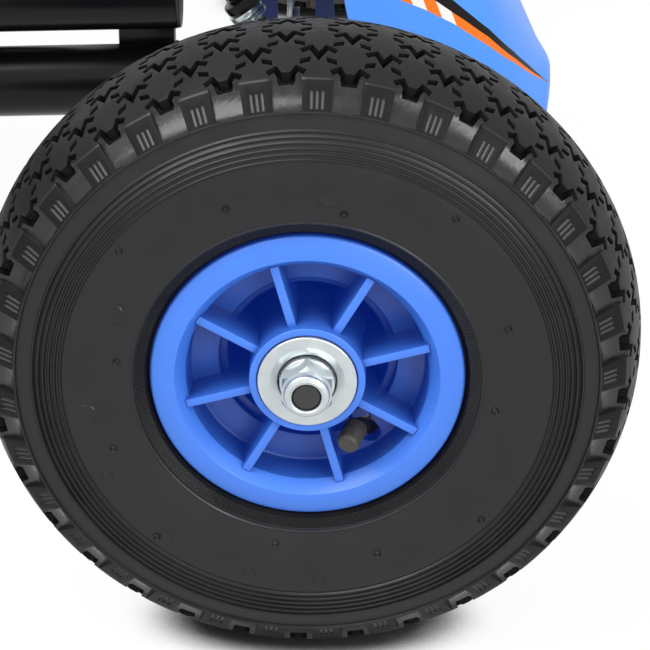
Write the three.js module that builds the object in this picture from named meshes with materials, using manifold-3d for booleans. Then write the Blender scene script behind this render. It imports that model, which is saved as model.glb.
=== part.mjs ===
// Child's pedal go-kart on four pneumatic wheels.
// Millimetres. X runs forward from the front axle, Y to the driver's left, Z up from the ground.
// The finished group is moved so that its origin is the middle of its footprint on the ground.

import * as THREE from 'three';
import { mergeVertices } from 'three/addons/utils/BufferGeometryUtils.js';
import Module from 'manifold-3d';

const wasm = await Module();
wasm.setup();

// Clearances and layout
const gap = 0.3; // between parts that touch or turn on each other
const slack = 0.5; // beside parts that slide or turn loosely
const overrun = 2; // how far a cut runs past the face it opens
const track = 674; // between the middles of the tyres
const wheelbase = 800;

// A place that many millimetres ahead of the rear axle.
function aheadOfRear(reach) {
  return reach - wheelbase;
}

// Tyre, marked 260 x 85 on its wall
const tyreRadius = 130;
const tyreHalfWidth = 42.5;
const widestRadius = 90;
const shoulderRadius = 115;
const shoulderHalf = 38;
const treadEdgeRadius = 125;
const treadEdgeHalf = 27;
const lugDepth = 6; // how deep the gaps between the shoulder lugs are
const shoulderLugDepth = 3;
const lugCount = 34;
const beadToeHalf = 18;
const beadMouthRadius = 71.5; // how far out the opening between the beads reaches
const tubeRingRadius = 88; // middle of the inner tube's section
const tubeHalfWidth = 36;
const tubeHalfHeight = 33;
const tubeWall = 2.5;

// Plastic rim
const beadSeatRadius = 50.8;
const flangeRadius = 60.4;
const flangeInnerHalf = 34;
const flangeOuterHalf = 38.2;
const creaseRadius = 49.9;
const creaseHalf = 39.4;
const mouthRadius = 45.5;
const mouthHalf = 33.8;
const barrelRadius = 44.5;
const shelfHeight = 19.5; // outer face of the web's outer ring
const shelfInnerRadius = 34.4;
const webHeight = -5; // outer face of the web's deeper inner ring
const webThickness = 3.5;
const hubHalf = 40;
const hubRadius = 21.2;
const hubRootRadius = 25;
const hubBoreRadius = 11;
const ribCount = 8;
const firstRibAngle = 30; // degrees clockwise from the top, seen from outside
const ribThickness = 3.4;
const ribTopHeight = 35;
const ribInnerRadius = 20.2;

// Wheel bearings, axle ends and nuts
const bearingRadius = 18.45;
const bearingFace = 41.2;
const bearingDepth = 11.9;
const dishRadius = 11.3;
const dishDepth = 2.7;
const axleEndRadius = 6;
const nutBase = 38.8;
const nutHexStart = 41.7;
const nutHexEnd = 48.8;
const nutTop = 52.4;
const nutAcrossFlats = 19;
const nutCollarRadius = 8.9;
const axleEndReach = 51.8; // from the wheel's middle

// Valve: a brass stem that turns outwards behind the rim's notch
const valveAngle = 144.5; // degrees clockwise from the top, seen from outside
const valveRootRadius = 53;
const valveHeight = 8;
const valveRadius = 39.8;
const valveStemRadius = 3.2;
const valveTipAngle = 153;
const valveTipRadius = 32.1;
const valveTipHeight = 38;
const valveCapRadius = 4.5;
const valveCapLength = 12;
const valveHoleRadius = 4.3;

// Frame tubes
const tubeRadius = 17.5;
const tubeBore = 15.5;
const beamX = 24; // the kingpins stand ahead of the front axle line
const beamZ = 97;
const beamRadius = 14;
const beamBore = 12;
const rearBeamZ = 75;
const rearBeamRadius = 13;
const rearBeamBore = 11;
const railRise = 45.2; // seat rail above the spine
const railFrontX = -71.5;
const railRearReach = 100;
const railRearX = aheadOfRear(railRearReach);
const blockLength = 28;
const blockWidth = 26;

// Front forks, kingpins and knuckles
const kingpinInset = 70; // from the tyre's middle
const kingpinY = track / 2 - kingpinInset;
const kingpinRadius = 5;
const forkReach = 25; // from the kingpin back to the fork's upright plate
const forkOuterReach = 14;
const forkThickness = 6;
const forkHalfLength = 16;
const knuckleHalfHeight = 19.5;
const knuckleHalfWidth = 11;
const knuckleEnd = 12; // block beyond the kingpin and beyond the stub axle
const stubCollarRadius = 10;
const kingpinHeadRadius = 9;
const kingpinHeadHeight = 7;
const armLength = 40; // steering arm, kingpin to tie rod pin
const armThickness = 6;
const armHalfWidth = 9;
const armPinRadius = 3;
const armPinLength = 17.5;
const armPinHeadRadius = 6;
const armPinHeadHeight = 2.5;

// Tie rods
const rodRadius = 4;
const outerEyeRadius = 8;
const outerEyeThickness = 5;
const outerEyeDrop = 4; // below the steering arm
const innerEyeRadius = 9;
const innerEyeThickness = 3;
const innerEyeBore = 5.8; // wide, because the linkage is open here
const innerEyeFirst = 0.8;
const innerEyeStep = 3.5;
const tabLength = 20;
const tabWidth = 10;
const tabLap = 6;

// Steering column
const columnAngle = 55; // degrees above the horizontal
const columnFootX = -15;
const columnFootZ = 150;
const columnLength = 440;
const shaftRadius = 8;
const dropArmLength = 30;
const dropArmThickness = 5;
const dropArmHalfWidth = 9;
const dropArmEnd = 8;
const studRadius = 3;
const studLength = 12.5;
const studHeadRadius = 6;
const studHeadHeight = 2;
const housingStart = 50;
const housingLength = 120;
const housingRadius = 15;
const columnBushRadius = 11;
const postFootX = -88;
const postRadius = 12.5;
const steeringWheelRadius = 128;
const gripRadius = 12;
const spokeWidth = 26;
const spokeThickness = 6;
const steeringHubRadius = 26;
const steeringHubLength = 26;
const shaftEnd = 8;

// Crank, pedals and chain drive
const crankShare = 0.225; // of the wheelbase
const crankX = -crankShare * wheelbase;
const crankZ = 180;
const crankShellRadius = 17;
const crankShellHalf = 35;
const crankBushRadius = 14;
const crankBushLength = 15;
const crankAxleRadius = 8;
const crankLength = 110;
const crankArmY = 58;
const crankArmThickness = 8;
const crankArmHalf = 12;
const pedalPinRadius = 5;
const pedalPinLength = 104;
const pedalWidth = 92;
const pedalLength = 68;
const pedalHeight = 22;
const pedalStart = 6;
const pedalSlotWidth = 18;
const pedalSlotHalf = 34;
const pedalSlotOffset = 19;
const crankBracketLength = 24;
const chainPitch = 12.7;
const chainringTeeth = 26;
const sprocketTeeth = 13;
const toothHeight = 4;
const sprocketThickness = 3;
const chainY = 40;
const chainWidth = 7;
const chainHeight = 8;
const chainClearShare = 1.02; // by which the inner circles clear the flats of the outline
const guardWall = 2.5;
const guardRoom = 2.5;
const guardInnerY = 30;
const guardOuterY = 54;
const guardTabShare = 0.25; // of the way from the crank to the rear axle
const guardTabX = crankX - guardTabShare * (wheelbase + crankX);
const guardTabLength = 24;
const guardTabHeight = 12;

// Rear axle and its carrier
const rearAxleRadius = 8;
const plateInset = 112; // from the tyre's middle
const plateY = track / 2 - plateInset;
const plateThickness = 6;
const plateHalfLength = 25;
const plateTop = 155;
const plateBottom = 58;
const rearBearingRadius = 16;
const rearBearingWidth = 10;

// Seat, its clamp and knob
const seatWidth = 320;
const seatWall = 6;
const seatBaseZ = 230;
const seatFrontReach = 385;
const seatHeelReach = 120;
const seatTopReach = 40;
const seatFrontX = aheadOfRear(seatFrontReach);
const seatHeelX = aheadOfRear(seatHeelReach);
const seatTopX = aheadOfRear(seatTopReach);
const seatTopZ = 540;
const bolsterFront = 34;
const bolsterHeel = 75;
const backWall = 60;
const clampReach = 260;
const clampX = aheadOfRear(clampReach);
const clampLength = 120;
const clampHalfWidth = 27;
const clampCheek = 7;
const clampPlate = 5;
const clampTopHalf = 70;
const knobRadius = 20;
const knobLength = 18;
const knobScrewRadius = 4;
const knobRise = 6; // above the rail's middle

// Fairing and its bracket
const fairingWall = 3;
const fairingHalfRear = 110;
const fairingHalfNose = 22;
const fairingHalfShoulder = 44;
const fairingHalfCheek = 66;
const cheekX = 88;
const noseShoulderX = 105;
const noseX = 112;
const noseTopZ = 106;
const noseBottomZ = 98;
const chinX = 108.5;
const chinZ = 80;
const skirtZ = 76;
const skirtRearX = -38;
const skirtTopZ = 98;
const notchTopZ = 140;
const notchFrontX = 44;
const sideRearX = 18;
const sideRearMidX = 5;
const sideRearMidZ = 212;
const sideRearTopX = -35;
const sideRearTopZ = 262;
const peakDrop = 14; // depth of the hood's rear edge at its peak
const hoodFootX = 79;
const hoodFootZ = 173;
const hoodMidX = 22;
const hoodMidZ = 243;
const hoodTopX = -90;
const hoodTopZ = 322;
const ventRearX = -26;
const ventFrontX = -6;
const beamSlotRearX = 4;
const bracketWidth = 30;
const bracketThickness = 3;
const bracketRearX = -18;
const bracketUpstand = 16;
const bracketFrontUp = 12;

// Brake lever and shoe
const brakeReach = 160;
const brakeX = aheadOfRear(brakeReach);
const brakeTubeRadius = 11;
const brakeTubeLength = 200;
const brakeShaftRadius = 6;
const brakeShaftStart = -19.5;
const brakeShaftOverhang = 13; // beyond the tyre's middle
const brakeShaftEnd = -track / 2 - brakeShaftOverhang;
const leverClear = 55; // between the lever and the seat's side
const leverY = -seatWidth / 2 - leverClear;
const leverRadius = 6;
const leverTopReach = 240;
const leverKneeReach = 170;
const leverTopX = aheadOfRear(leverTopReach);
const leverTopZ = 400;
const leverKneeX = aheadOfRear(leverKneeReach);
const leverKneeZ = 200;
const shoeAngle = 25; // degrees above the axle, in front of the rear right tyre
const shoeGap = 10;
const shoeThickness = 10;
const shoeLength = 46;
const shoeWidth = 60;
const shoePlate = 4;
const shoePlateLap = 4;
const brakeArmDepth = 14;

// Counts of straight sides
const roundSides = 12;
const smallSides = 8;
const hexSides = 6;
const rimSides = 12;
const tubeSides = 12;
const sectionSides = 6;
const gripSides = 6;
const gripSteps = 20;
const beltSteps = 8;

const axleZ = tyreRadius;
const degree = Math.PI / 180;
const stubX = 0;
const columnUp = new THREE.Vector3(-Math.cos(columnAngle * degree), 0, Math.sin(columnAngle * degree));
const columnFore = new THREE.Vector3(Math.sin(columnAngle * degree), 0, Math.cos(columnAngle * degree));
const columnFoot = new THREE.Vector3(columnFootX, 0, columnFootZ);

// Shapes

function asSolid(geometry) {
  const bare = new THREE.BufferGeometry();
  bare.setAttribute('position', geometry.getAttribute('position'));
  bare.setIndex(geometry.getIndex());
  const merged = mergeVertices(bare);
  const corners = merged.getAttribute('position').array;
  const index = merged.getIndex().array;
  const faces = [];
  let volume = 0;
  for (let i = 0; i < index.length; i += 3) {
    const [a, b, c] = [index[i], index[i + 1], index[i + 2]];
    if (a !== b && b !== c && c !== a) {
      faces.push([a, b, c]);
      const [p, q, r] = [a, b, c].map((k) => new THREE.Vector3().fromArray(corners, 3 * k));
      volume += p.dot(q.cross(r));
    }
  }
  const outward = volume > 0 ? faces : faces.map(([a, b, c]) => [a, c, b]);
  const mesh = new wasm.Mesh({
    numProp: 3,
    vertProperties: new Float32Array(corners),
    triVerts: new Uint32Array(outward.flat()),
  });
  return new wasm.Manifold(mesh);
}

function asGeometry(solid) {
  const mesh = solid.getMesh();
  const geometry = new THREE.BufferGeometry();
  geometry.setAttribute('position', new THREE.BufferAttribute(mesh.vertProperties, 3));
  geometry.setIndex(new THREE.BufferAttribute(mesh.triVerts, 1));
  geometry.computeVertexNormals();
  return geometry;
}

function joined(...solids) {
  return solids.reduce((whole, next) => whole.add(next));
}

function cut(solid, ...tools) {
  return tools.reduce((whole, tool) => whole.subtract(tool), solid);
}

// A block given by its lowest and highest corners.
function block(low, high) {
  const geometry = new THREE.BoxGeometry(high[0] - low[0], high[1] - low[1], high[2] - low[2]);
  geometry.translate((low[0] + high[0]) / 2, (low[1] + high[1]) / 2, (low[2] + high[2]) / 2);
  return asSolid(geometry);
}

// A round or many-sided bar from one point to another.
function bar(from, to, radius, sides = roundSides) {
  const start = new THREE.Vector3(...from);
  const end = new THREE.Vector3(...to);
  const along = end.clone().sub(start);
  const geometry = new THREE.CylinderGeometry(radius, radius, along.length(), sides);
  const turn = new THREE.Quaternion();
  turn.setFromUnitVectors(new THREE.Vector3(0, 1, 0), along.clone().normalize());
  geometry.applyQuaternion(turn);
  const middle = start.add(end).multiplyScalar(0.5);
  geometry.translate(middle.x, middle.y, middle.z);
  return asSolid(geometry);
}

// The same bar, made longer by the overrun at both ends, for cutting holes.
function bore(from, to, radius, sides = roundSides) {
  const start = new THREE.Vector3(...from);
  const end = new THREE.Vector3(...to);
  const extra = end.clone().sub(start).setLength(overrun);
  start.sub(extra);
  end.add(extra);
  return bar(start.toArray(), end.toArray(), radius, sides);
}

// A closed outline of [radius, height] turned about the Y axis.
function turned(outline, sides) {
  const points = [...outline, outline[0]].map(([radius, height]) => new THREE.Vector2(radius, height));
  return asSolid(new THREE.LatheGeometry(points, sides));
}

// A closed outline of [x, z] given thickness from one y to another.
function panel(outline, lowY, highY) {
  const shape = new THREE.Shape(outline.map(([x, z]) => new THREE.Vector2(x, z)));
  const geometry = new THREE.ExtrudeGeometry(shape, { depth: highY - lowY, bevelEnabled: false });
  geometry.rotateX(Math.PI / 2);
  geometry.translate(0, highY, 0);
  return asSolid(geometry);
}

// A closed outline of [x, y] given height from one z to another.
function slab(outline, lowZ, highZ) {
  const shape = new THREE.Shape(outline.map(([x, y]) => new THREE.Vector2(x, y)));
  const geometry = new THREE.ExtrudeGeometry(shape, { depth: highZ - lowZ, bevelEnabled: false });
  geometry.translate(0, 0, lowZ);
  return asSolid(geometry);
}

// A point on the steering column: up along the shaft, forward across it, and sideways.
function onColumn(up, fore = 0, side = 0) {
  const point = columnFoot.clone().addScaledVector(columnUp, up).addScaledVector(columnFore, fore);
  return [point.x, side, point.z];
}

// A block lined up with the steering column.
function columnBlock(upRange, foreRange, sideRange) {
  const sizes = [foreRange, sideRange, upRange].map(([low, high]) => high - low);
  const middles = [foreRange, sideRange, upRange].map(([low, high]) => (low + high) / 2);
  const geometry = new THREE.BoxGeometry(...sizes);
  geometry.translate(...middles);
  geometry.applyQuaternion(new THREE.Quaternion().setFromUnitVectors(new THREE.Vector3(0, 0, 1), columnUp));
  geometry.translate(columnFoot.x, columnFoot.y, columnFoot.z);
  return asSolid(geometry);
}

// Finishes

const finishes = {
  tyreRubber: { color: 0x2c2c2e, roughness: 0.75, metalness: 0 },
  tubeRubber: { color: 0x1a1a1b, roughness: 0.6, metalness: 0 },
  bluePlastic: { color: 0x4c86ea, roughness: 0.45, metalness: 0 },
  fairingPlastic: { color: 0x5a90f8, roughness: 0.25, metalness: 0 },
  zincPlate: { color: 0xc4cacc, roughness: 0.35, metalness: 1 },
  brass: { color: 0x9c7a48, roughness: 0.4, metalness: 1 },
  blackPaint: { color: 0x141516, roughness: 0.25, metalness: 0 },
  blackPlastic: { color: 0x1d1d1f, roughness: 0.55, metalness: 0 },
  greySteel: { color: 0x8d9092, roughness: 0.4, metalness: 1 },
  gripFoam: { color: 0x222224, roughness: 0.8, metalness: 0 },
  whitePlastic: { color: 0xd8d8d2, roughness: 0.5, metalness: 0 },
};

const kart = new THREE.Group();

function addPiece(name, solid, finish, group = kart) {
  const mesh = new THREE.Mesh(asGeometry(solid), new THREE.MeshStandardMaterial(finishes[finish]));
  mesh.name = name;
  group.add(mesh);
}

// Wheels are made with their outer side towards +Y.

// A place on the wheel, by radius and by degrees clockwise from the top as seen from outside.
function onWheel(radius, angle, height) {
  return [-radius * Math.sin(angle * degree), height, radius * Math.cos(angle * degree)];
}

// The tyre's outer surface is made of closed rings, from the inside edge of one wall over the tread
// to the other. A ring through the shoulder lugs has two steps for each lug: out, then in.
function tyreBody() {
  const half = [
    { radius: beadSeatRadius + gap, height: flangeInnerHalf - gap, dip: 0 },
    { radius: flangeRadius + gap, height: flangeInnerHalf - gap, dip: 0 },
    { radius: widestRadius, height: tyreHalfWidth, dip: 0 },
    { radius: shoulderRadius, height: shoulderHalf, dip: shoulderLugDepth },
    { radius: treadEdgeRadius, height: treadEdgeHalf, dip: lugDepth },
  ];
  const crown = { radius: tyreRadius, height: 0, dip: 0 };
  const otherHalf = half.map((ring) => ({ ...ring, height: -ring.height })).reverse();
  const rings = [...half, crown, ...otherHalf];
  const corners = [];
  const firsts = rings.map((ring) => {
    const first = corners.length / 3;
    const steps = ring.dip ? 2 * lugCount : lugCount;
    for (let step = 0; step < steps; step += 1) {
      const radius = step % 2 && ring.dip ? ring.radius - ring.dip : ring.radius;
      corners.push(...onWheel(radius, (360 * step) / steps, ring.height));
    }
    return first;
  });
  const corner = (ring, halfStep) => {
    const steps = rings[ring].dip ? 2 * lugCount : lugCount;
    const step = rings[ring].dip ? halfStep : halfStep / 2;
    return firsts[ring] + (step % steps);
  };
  const faces = [];
  rings.forEach((ring, a) => {
    const b = (a + 1) % rings.length;
    for (let step = 0; step < 2 * lugCount; step += 2) {
      const [a0, a2, b0, b2] = [corner(a, step), corner(a, step + 2), corner(b, step), corner(b, step + 2)];
      if (ring.dip && rings[b].dip) {
        const [a1, b1] = [corner(a, step + 1), corner(b, step + 1)];
        faces.push(a0, b0, b1, a0, b1, a1, a1, b1, b2, a1, b2, a2);
      } else if (ring.dip) {
        const a1 = corner(a, step + 1);
        faces.push(a0, b0, a1, a1, b0, b2, a1, b2, a2);
      } else if (rings[b].dip) {
        const b1 = corner(b, step + 1);
        faces.push(a0, b0, b1, a0, b1, a2, a2, b1, b2);
      } else {
        faces.push(a0, b0, b2, a0, b2, a2);
      }
    }
  });
  const geometry = new THREE.BufferGeometry();
  geometry.setAttribute('position', new THREE.Float32BufferAttribute(corners, 3));
  geometry.setIndex(faces);
  return asSolid(geometry);
}

function ovalRing(halfHeight, halfWidth) {
  const outline = [];
  for (let i = 0; i < sectionSides; i += 1) {
    const turn = (2 * Math.PI * (i + 0.5)) / sectionSides;
    outline.push([tubeRingRadius + halfHeight * Math.cos(turn), halfWidth * Math.sin(turn)]);
  }
  return turned(outline, tubeSides);
}

function makeTyre() {
  const room = ovalRing(tubeHalfHeight + gap, tubeHalfWidth + gap);
  const mouth = turned([
    [beadSeatRadius - overrun, -beadToeHalf],
    [beadMouthRadius, -beadToeHalf],
    [beadMouthRadius, beadToeHalf],
    [beadSeatRadius - overrun, beadToeHalf],
  ], tubeSides);
  return cut(tyreBody(), room, mouth);
}

function makeInnerTube() {
  const inside = ovalRing(tubeHalfHeight - tubeWall, tubeHalfWidth - tubeWall);
  const tubeHole = bar(
    onWheel(beadSeatRadius, valveAngle, valveHeight),
    onWheel(tubeRingRadius, valveAngle, valveHeight),
    valveHoleRadius,
    hexSides,
  );
  return cut(ovalRing(tubeHalfHeight, tubeHalfWidth), inside, tubeHole);
}

function makeRim() {
  const pocket = hubHalf - (bearingFace - bearingDepth) + gap;
  const pocketRadius = bearingRadius + gap;
  const body = turned([
    [creaseRadius, creaseHalf],
    [flangeRadius, flangeOuterHalf],
    [flangeRadius, flangeInnerHalf],
    [beadSeatRadius, flangeInnerHalf],
    [beadSeatRadius, -flangeInnerHalf],
    [flangeRadius, -flangeInnerHalf],
    [flangeRadius, -flangeOuterHalf],
    [creaseRadius, -creaseHalf],
    [barrelRadius, -mouthHalf],
    [barrelRadius, webHeight - webThickness],
    [hubRootRadius, webHeight - webThickness],
    [hubRadius, -hubHalf],
    [pocketRadius, -hubHalf],
    [pocketRadius, -hubHalf + pocket],
    [hubBoreRadius, -hubHalf + pocket],
    [hubBoreRadius, hubHalf - pocket],
    [pocketRadius, hubHalf - pocket],
    [pocketRadius, hubHalf],
    [hubRadius, hubHalf],
    [hubRootRadius, webHeight],
    [shelfInnerRadius, webHeight],
    [shelfInnerRadius, shelfHeight],
    [barrelRadius, shelfHeight],
    [mouthRadius, mouthHalf],
  ], rimSides);
  const ribs = [];
  for (let i = 0; i < ribCount; i += 1) {
    const angle = firstRibAngle + (360 * i) / ribCount;
    const rib = new THREE.BoxGeometry(ribThickness, ribTopHeight - webHeight, mouthRadius - ribInnerRadius);
    rib.translate(0, (ribTopHeight + webHeight) / 2, (mouthRadius + ribInnerRadius) / 2);
    rib.rotateY(-angle * degree);
    ribs.push(asSolid(rib));
  }
  const stemHole = bar(
    onWheel(shelfInnerRadius, valveAngle, valveHeight),
    onWheel(valveRootRadius, valveAngle, valveHeight),
    valveHoleRadius,
    hexSides,
  );
  const notchReach = valveRadius + valveHoleRadius - shelfInnerRadius + 2 * webThickness;
  const notch = new THREE.BoxGeometry(2 * valveHoleRadius, 2 * (shelfHeight - valveHeight), notchReach);
  notch.translate(0, shelfHeight, valveRadius + valveHoleRadius - notchReach / 2);
  notch.rotateY(-valveAngle * degree);
  return cut(joined(body, ...ribs), stemHole, asSolid(notch));
}

function makeBearing() {
  return turned([
    [axleEndRadius + gap, bearingFace - bearingDepth],
    [bearingRadius, bearingFace - bearingDepth],
    [bearingRadius, bearingFace],
    [dishRadius, bearingFace],
    [dishRadius, bearingFace - dishDepth],
    [axleEndRadius + gap, bearingFace - dishDepth],
  ], roundSides);
}

function makeAxleNut() {
  const collar = bar([0, nutBase, 0], [0, nutTop, 0], nutCollarRadius, roundSides);
  const cornerRadius = nutAcrossFlats / 2 / Math.cos(Math.PI / hexSides);
  const hexagon = bar([0, nutHexStart, 0], [0, nutHexEnd, 0], cornerRadius, hexSides);
  return cut(joined(collar, hexagon), bore([0, nutBase, 0], [0, nutTop, 0], axleEndRadius + gap));
}

function makeValve() {
  const root = onWheel(valveRootRadius, valveAngle, valveHeight);
  const elbow = onWheel(valveRadius, valveAngle, valveHeight);
  const neck = onWheel(valveRadius, valveAngle, shelfHeight);
  const tip = onWheel(valveTipRadius, valveTipAngle, valveTipHeight);
  const capRun = new THREE.Vector3(...neck).sub(new THREE.Vector3(...tip)).setLength(valveCapLength);
  const capFoot = new THREE.Vector3(...tip).add(capRun);
  const stem = (from, to) => bar(from, to, valveStemRadius, hexSides);
  return joined(
    stem(root, onWheel(valveRadius - valveStemRadius, valveAngle, valveHeight)),
    stem(elbow, neck),
    stem(onWheel(valveRadius, valveAngle, shelfHeight - valveStemRadius), capFoot.toArray()),
    bar(capFoot.toArray(), tip, valveCapRadius, smallSides),
  );
}

const wheelPieces = [
  ['tyre', makeTyre(), 'tyreRubber'],
  ['inner_tube', makeInnerTube(), 'tubeRubber'],
  ['rim', makeRim(), 'bluePlastic'],
  ['bearing_outer', makeBearing(), 'zincPlate'],
  ['bearing_inner', makeBearing().mirror([0, 1, 0]), 'zincPlate'],
  ['valve', makeValve(), 'brass'],
  ['axle_nut', makeAxleNut(), 'zincPlate'],
];

for (const [end, x] of [['front', 0], ['rear', -wheelbase]]) {
  for (const [sideName, side] of [['right', -1], ['left', 1]]) {
    const wheel = new THREE.Group();
    wheel.position.set(x, (side * track) / 2, axleZ);
    wheel.rotation.z = side < 0 ? Math.PI : 0;
    kart.add(wheel);
    for (const [name, solid, finish] of wheelPieces) {
      addPiece(`${name}_${end}_${sideName}`, solid, finish, wheel);
    }
  }
}

// Frame

const spineFrontX = beamX - beamRadius - gap;
const spineRearX = -wheelbase + rearBeamRadius + gap;

function spineZ(x) {
  return rearBeamZ + ((beamZ - rearBeamZ) * (x - spineRearX)) / (spineFrontX - spineRearX);
}

function railZ(x) {
  return spineZ(x) + railRise;
}

function makeSpine() {
  const start = [spineRearX, 0, spineZ(spineRearX)];
  const end = [spineFrontX, 0, spineZ(spineFrontX)];
  const railEnds = [railRearX, railFrontX].map((x) => [x, 0, railZ(x)]);
  const railCut = bore(...railEnds, tubeRadius + gap);
  const weldBlock = (frontX) => {
    const rearX = frontX - blockLength;
    const outline = [
      [rearX, spineZ(rearX)],
      [frontX, spineZ(frontX)],
      [frontX, railZ(frontX)],
      [rearX, railZ(rearX)],
    ];
    return panel(outline, -blockWidth / 2, blockWidth / 2);
  };
  const brakeZ = spineZ(brakeX);
  const brakeTube = bar([brakeX, 0, brakeZ], [brakeX, -brakeTubeLength, brakeZ], brakeTubeRadius);
  const brakeBore = bore(
    [brakeX, brakeShaftStart + overrun, brakeZ],
    [brakeX, -brakeTubeLength, brakeZ],
    brakeShaftRadius + gap,
  );
  const whole = joined(
    bar(start, end, tubeRadius),
    weldBlock(railFrontX - overrun),
    weldBlock(railRearX + blockLength),
    brakeTube,
  );
  return cut(whole, railCut, bore(start, end, tubeBore), brakeBore);
}
addPiece('frame_spine', makeSpine(), 'blackPaint');

const housingEnd = housingStart + housingLength;
const postTop = onColumn((housingStart + housingEnd) / 2);

function makeSeatRail() {
  const start = [railRearX, 0, railZ(railRearX)];
  const end = [railFrontX, 0, railZ(railFrontX)];
  const shellEnds = [[crankX, -crankShellHalf, crankZ], [crankX, crankShellHalf, crankZ]];
  const bracketHalf = crankBracketLength / 2;
  const bracket = block(
    [crankX - bracketHalf, -bracketHalf, railZ(crankX)],
    [crankX + bracketHalf, bracketHalf, crankZ],
  );
  const whole = joined(
    bar(start, end, tubeRadius),
    bracket,
    bar(...shellEnds, crankShellRadius),
    bar([postFootX, 0, railZ(postFootX)], postTop, postRadius, smallSides),
    bar(onColumn(housingStart), onColumn(housingEnd), housingRadius),
  );
  const columnBore = bore(onColumn(housingStart), onColumn(housingEnd), columnBushRadius + gap);
  return cut(whole, bore(start, end, tubeBore), bore(...shellEnds, crankBushRadius + gap), columnBore);
}
addPiece('seat_rail', makeSeatRail(), 'blackPaint');

const forkPlateY = kingpinY - forkReach;
const jawLowTop = axleZ - knuckleHalfHeight - slack;
const jawHighBottom = axleZ + knuckleHalfHeight + slack;

function makeFrontBeam() {
  const beamEnds = [[beamX, -forkPlateY, beamZ], [beamX, forkPlateY, beamZ]];
  let whole = bar(...beamEnds, beamRadius);
  let holes = bore(...beamEnds, beamBore);
  const [rearX, frontX] = [beamX - forkHalfLength, beamX + forkHalfLength];
  for (const side of [-1, 1]) {
    const forkBlock = (nearY, farY, lowZ, highZ) => {
      const ys = [side * nearY, side * farY].sort((a, b) => a - b);
      return block([rearX, ys[0], lowZ], [frontX, ys[1], highZ]);
    };
    const outerY = kingpinY + forkOuterReach;
    const plateInner = forkPlateY - forkThickness;
    const highTop = jawHighBottom + forkThickness;
    whole = joined(
      whole,
      forkBlock(plateInner, forkPlateY, beamZ - beamRadius, highTop),
      forkBlock(plateInner, outerY, jawLowTop - forkThickness, jawLowTop),
      forkBlock(plateInner, outerY, jawHighBottom, highTop),
    );
    const pinHole = bore(
      [beamX, side * kingpinY, jawLowTop - forkThickness],
      [beamX, side * kingpinY, highTop],
      kingpinRadius + gap,
    );
    holes = joined(holes, pinHole);
  }
  return cut(whole, holes);
}
addPiece('front_beam', makeFrontBeam(), 'blackPaint');

function makeRearCarrier() {
  const outerY = plateY + plateThickness;
  const beamEnds = [[-wheelbase, -outerY, rearBeamZ], [-wheelbase, outerY, rearBeamZ]];
  const plates = [-1, 1].map((side) => {
    const ys = [side * plateY, side * outerY].sort((a, b) => a - b);
    return block(
      [-wheelbase - plateHalfLength, ys[0], plateBottom],
      [-wheelbase + plateHalfLength, ys[1], plateTop],
    );
  });
  const axleHole = bore(
    [-wheelbase, -outerY, axleZ],
    [-wheelbase, outerY, axleZ],
    rearBearingRadius + gap,
  );
  const whole = joined(bar(...beamEnds, rearBeamRadius), ...plates);
  return cut(whole, bore(...beamEnds, rearBeamBore), axleHole);
}
addPiece('rear_carrier', makeRearCarrier(), 'blackPaint');

// Rear axle

const hubShoulder = track / 2 - bearingFace - gap;

function makeRearAxle() {
  const middle = bar([-wheelbase, -hubShoulder, axleZ], [-wheelbase, hubShoulder, axleZ], rearAxleRadius);
  const tipY = track / 2 + axleEndReach;
  const ends = bar([-wheelbase, -tipY, axleZ], [-wheelbase, tipY, axleZ], axleEndRadius, roundSides);
  return joined(middle, ends);
}
addPiece('rear_axle', makeRearAxle(), 'greySteel');

for (const [sideName, side] of [['right', -1], ['left', 1]]) {
  const middleY = side * (plateY + plateThickness / 2);
  const ends = [
    [-wheelbase, middleY - rearBearingWidth / 2, axleZ],
    [-wheelbase, middleY + rearBearingWidth / 2, axleZ],
  ];
  const ring = cut(bar(...ends, rearBearingRadius), bore(...ends, rearAxleRadius + gap));
  addPiece(`rear_bearing_${sideName}`, ring, 'greySteel');
}

// Front knuckles, kingpins and tie rods

const armPinX = beamX - armLength;
const armTop = axleZ - knuckleHalfHeight + armThickness;
const armPinBottom = armTop - armPinLength;
const eyeTop = axleZ - knuckleHalfHeight - outerEyeDrop;

function makeKnuckle(side) {
  const pinY = side * kingpinY;
  const body = block(
    [stubX - knuckleEnd, pinY - knuckleHalfWidth, axleZ - knuckleHalfHeight],
    [beamX + knuckleEnd, pinY + knuckleHalfWidth, axleZ + knuckleHalfHeight],
  );
  const arm = block(
    [armPinX - armHalfWidth, pinY - armHalfWidth, axleZ - knuckleHalfHeight],
    [stubX, pinY + armHalfWidth, armTop],
  );
  const collar = bar([stubX, pinY, axleZ], [stubX, side * hubShoulder, axleZ], stubCollarRadius);
  const tipY = track / 2 + axleEndReach;
  const stub = bar([stubX, pinY, axleZ], [stubX, side * tipY, axleZ], axleEndRadius, roundSides);
  const pinEnds = [[armPinX, pinY, armTop - overrun], [armPinX, pinY, armPinBottom]];
  const pin = bar(...pinEnds, armPinRadius, smallSides);
  const pinHead = bar(
    [armPinX, pinY, armPinBottom],
    [armPinX, pinY, armPinBottom - armPinHeadHeight],
    armPinHeadRadius,
    smallSides,
  );
  const pinHole = bore(
    [beamX, pinY, axleZ - knuckleHalfHeight],
    [beamX, pinY, axleZ + knuckleHalfHeight],
    kingpinRadius + gap,
  );
  return cut(joined(body, arm, collar, stub, pin, pinHead), pinHole);
}

function makeKingpin(side) {
  const low = jawLowTop - forkThickness - gap;
  const high = jawHighBottom + forkThickness + gap;
  const y = side * kingpinY;
  return joined(
    bar([beamX, y, low], [beamX, y, high], kingpinRadius),
    bar([beamX, y, high], [beamX, y, high + kingpinHeadHeight], kingpinHeadRadius, hexSides),
    bar([beamX, y, low], [beamX, y, low - kingpinHeadHeight], kingpinHeadRadius, hexSides),
  );
}

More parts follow.
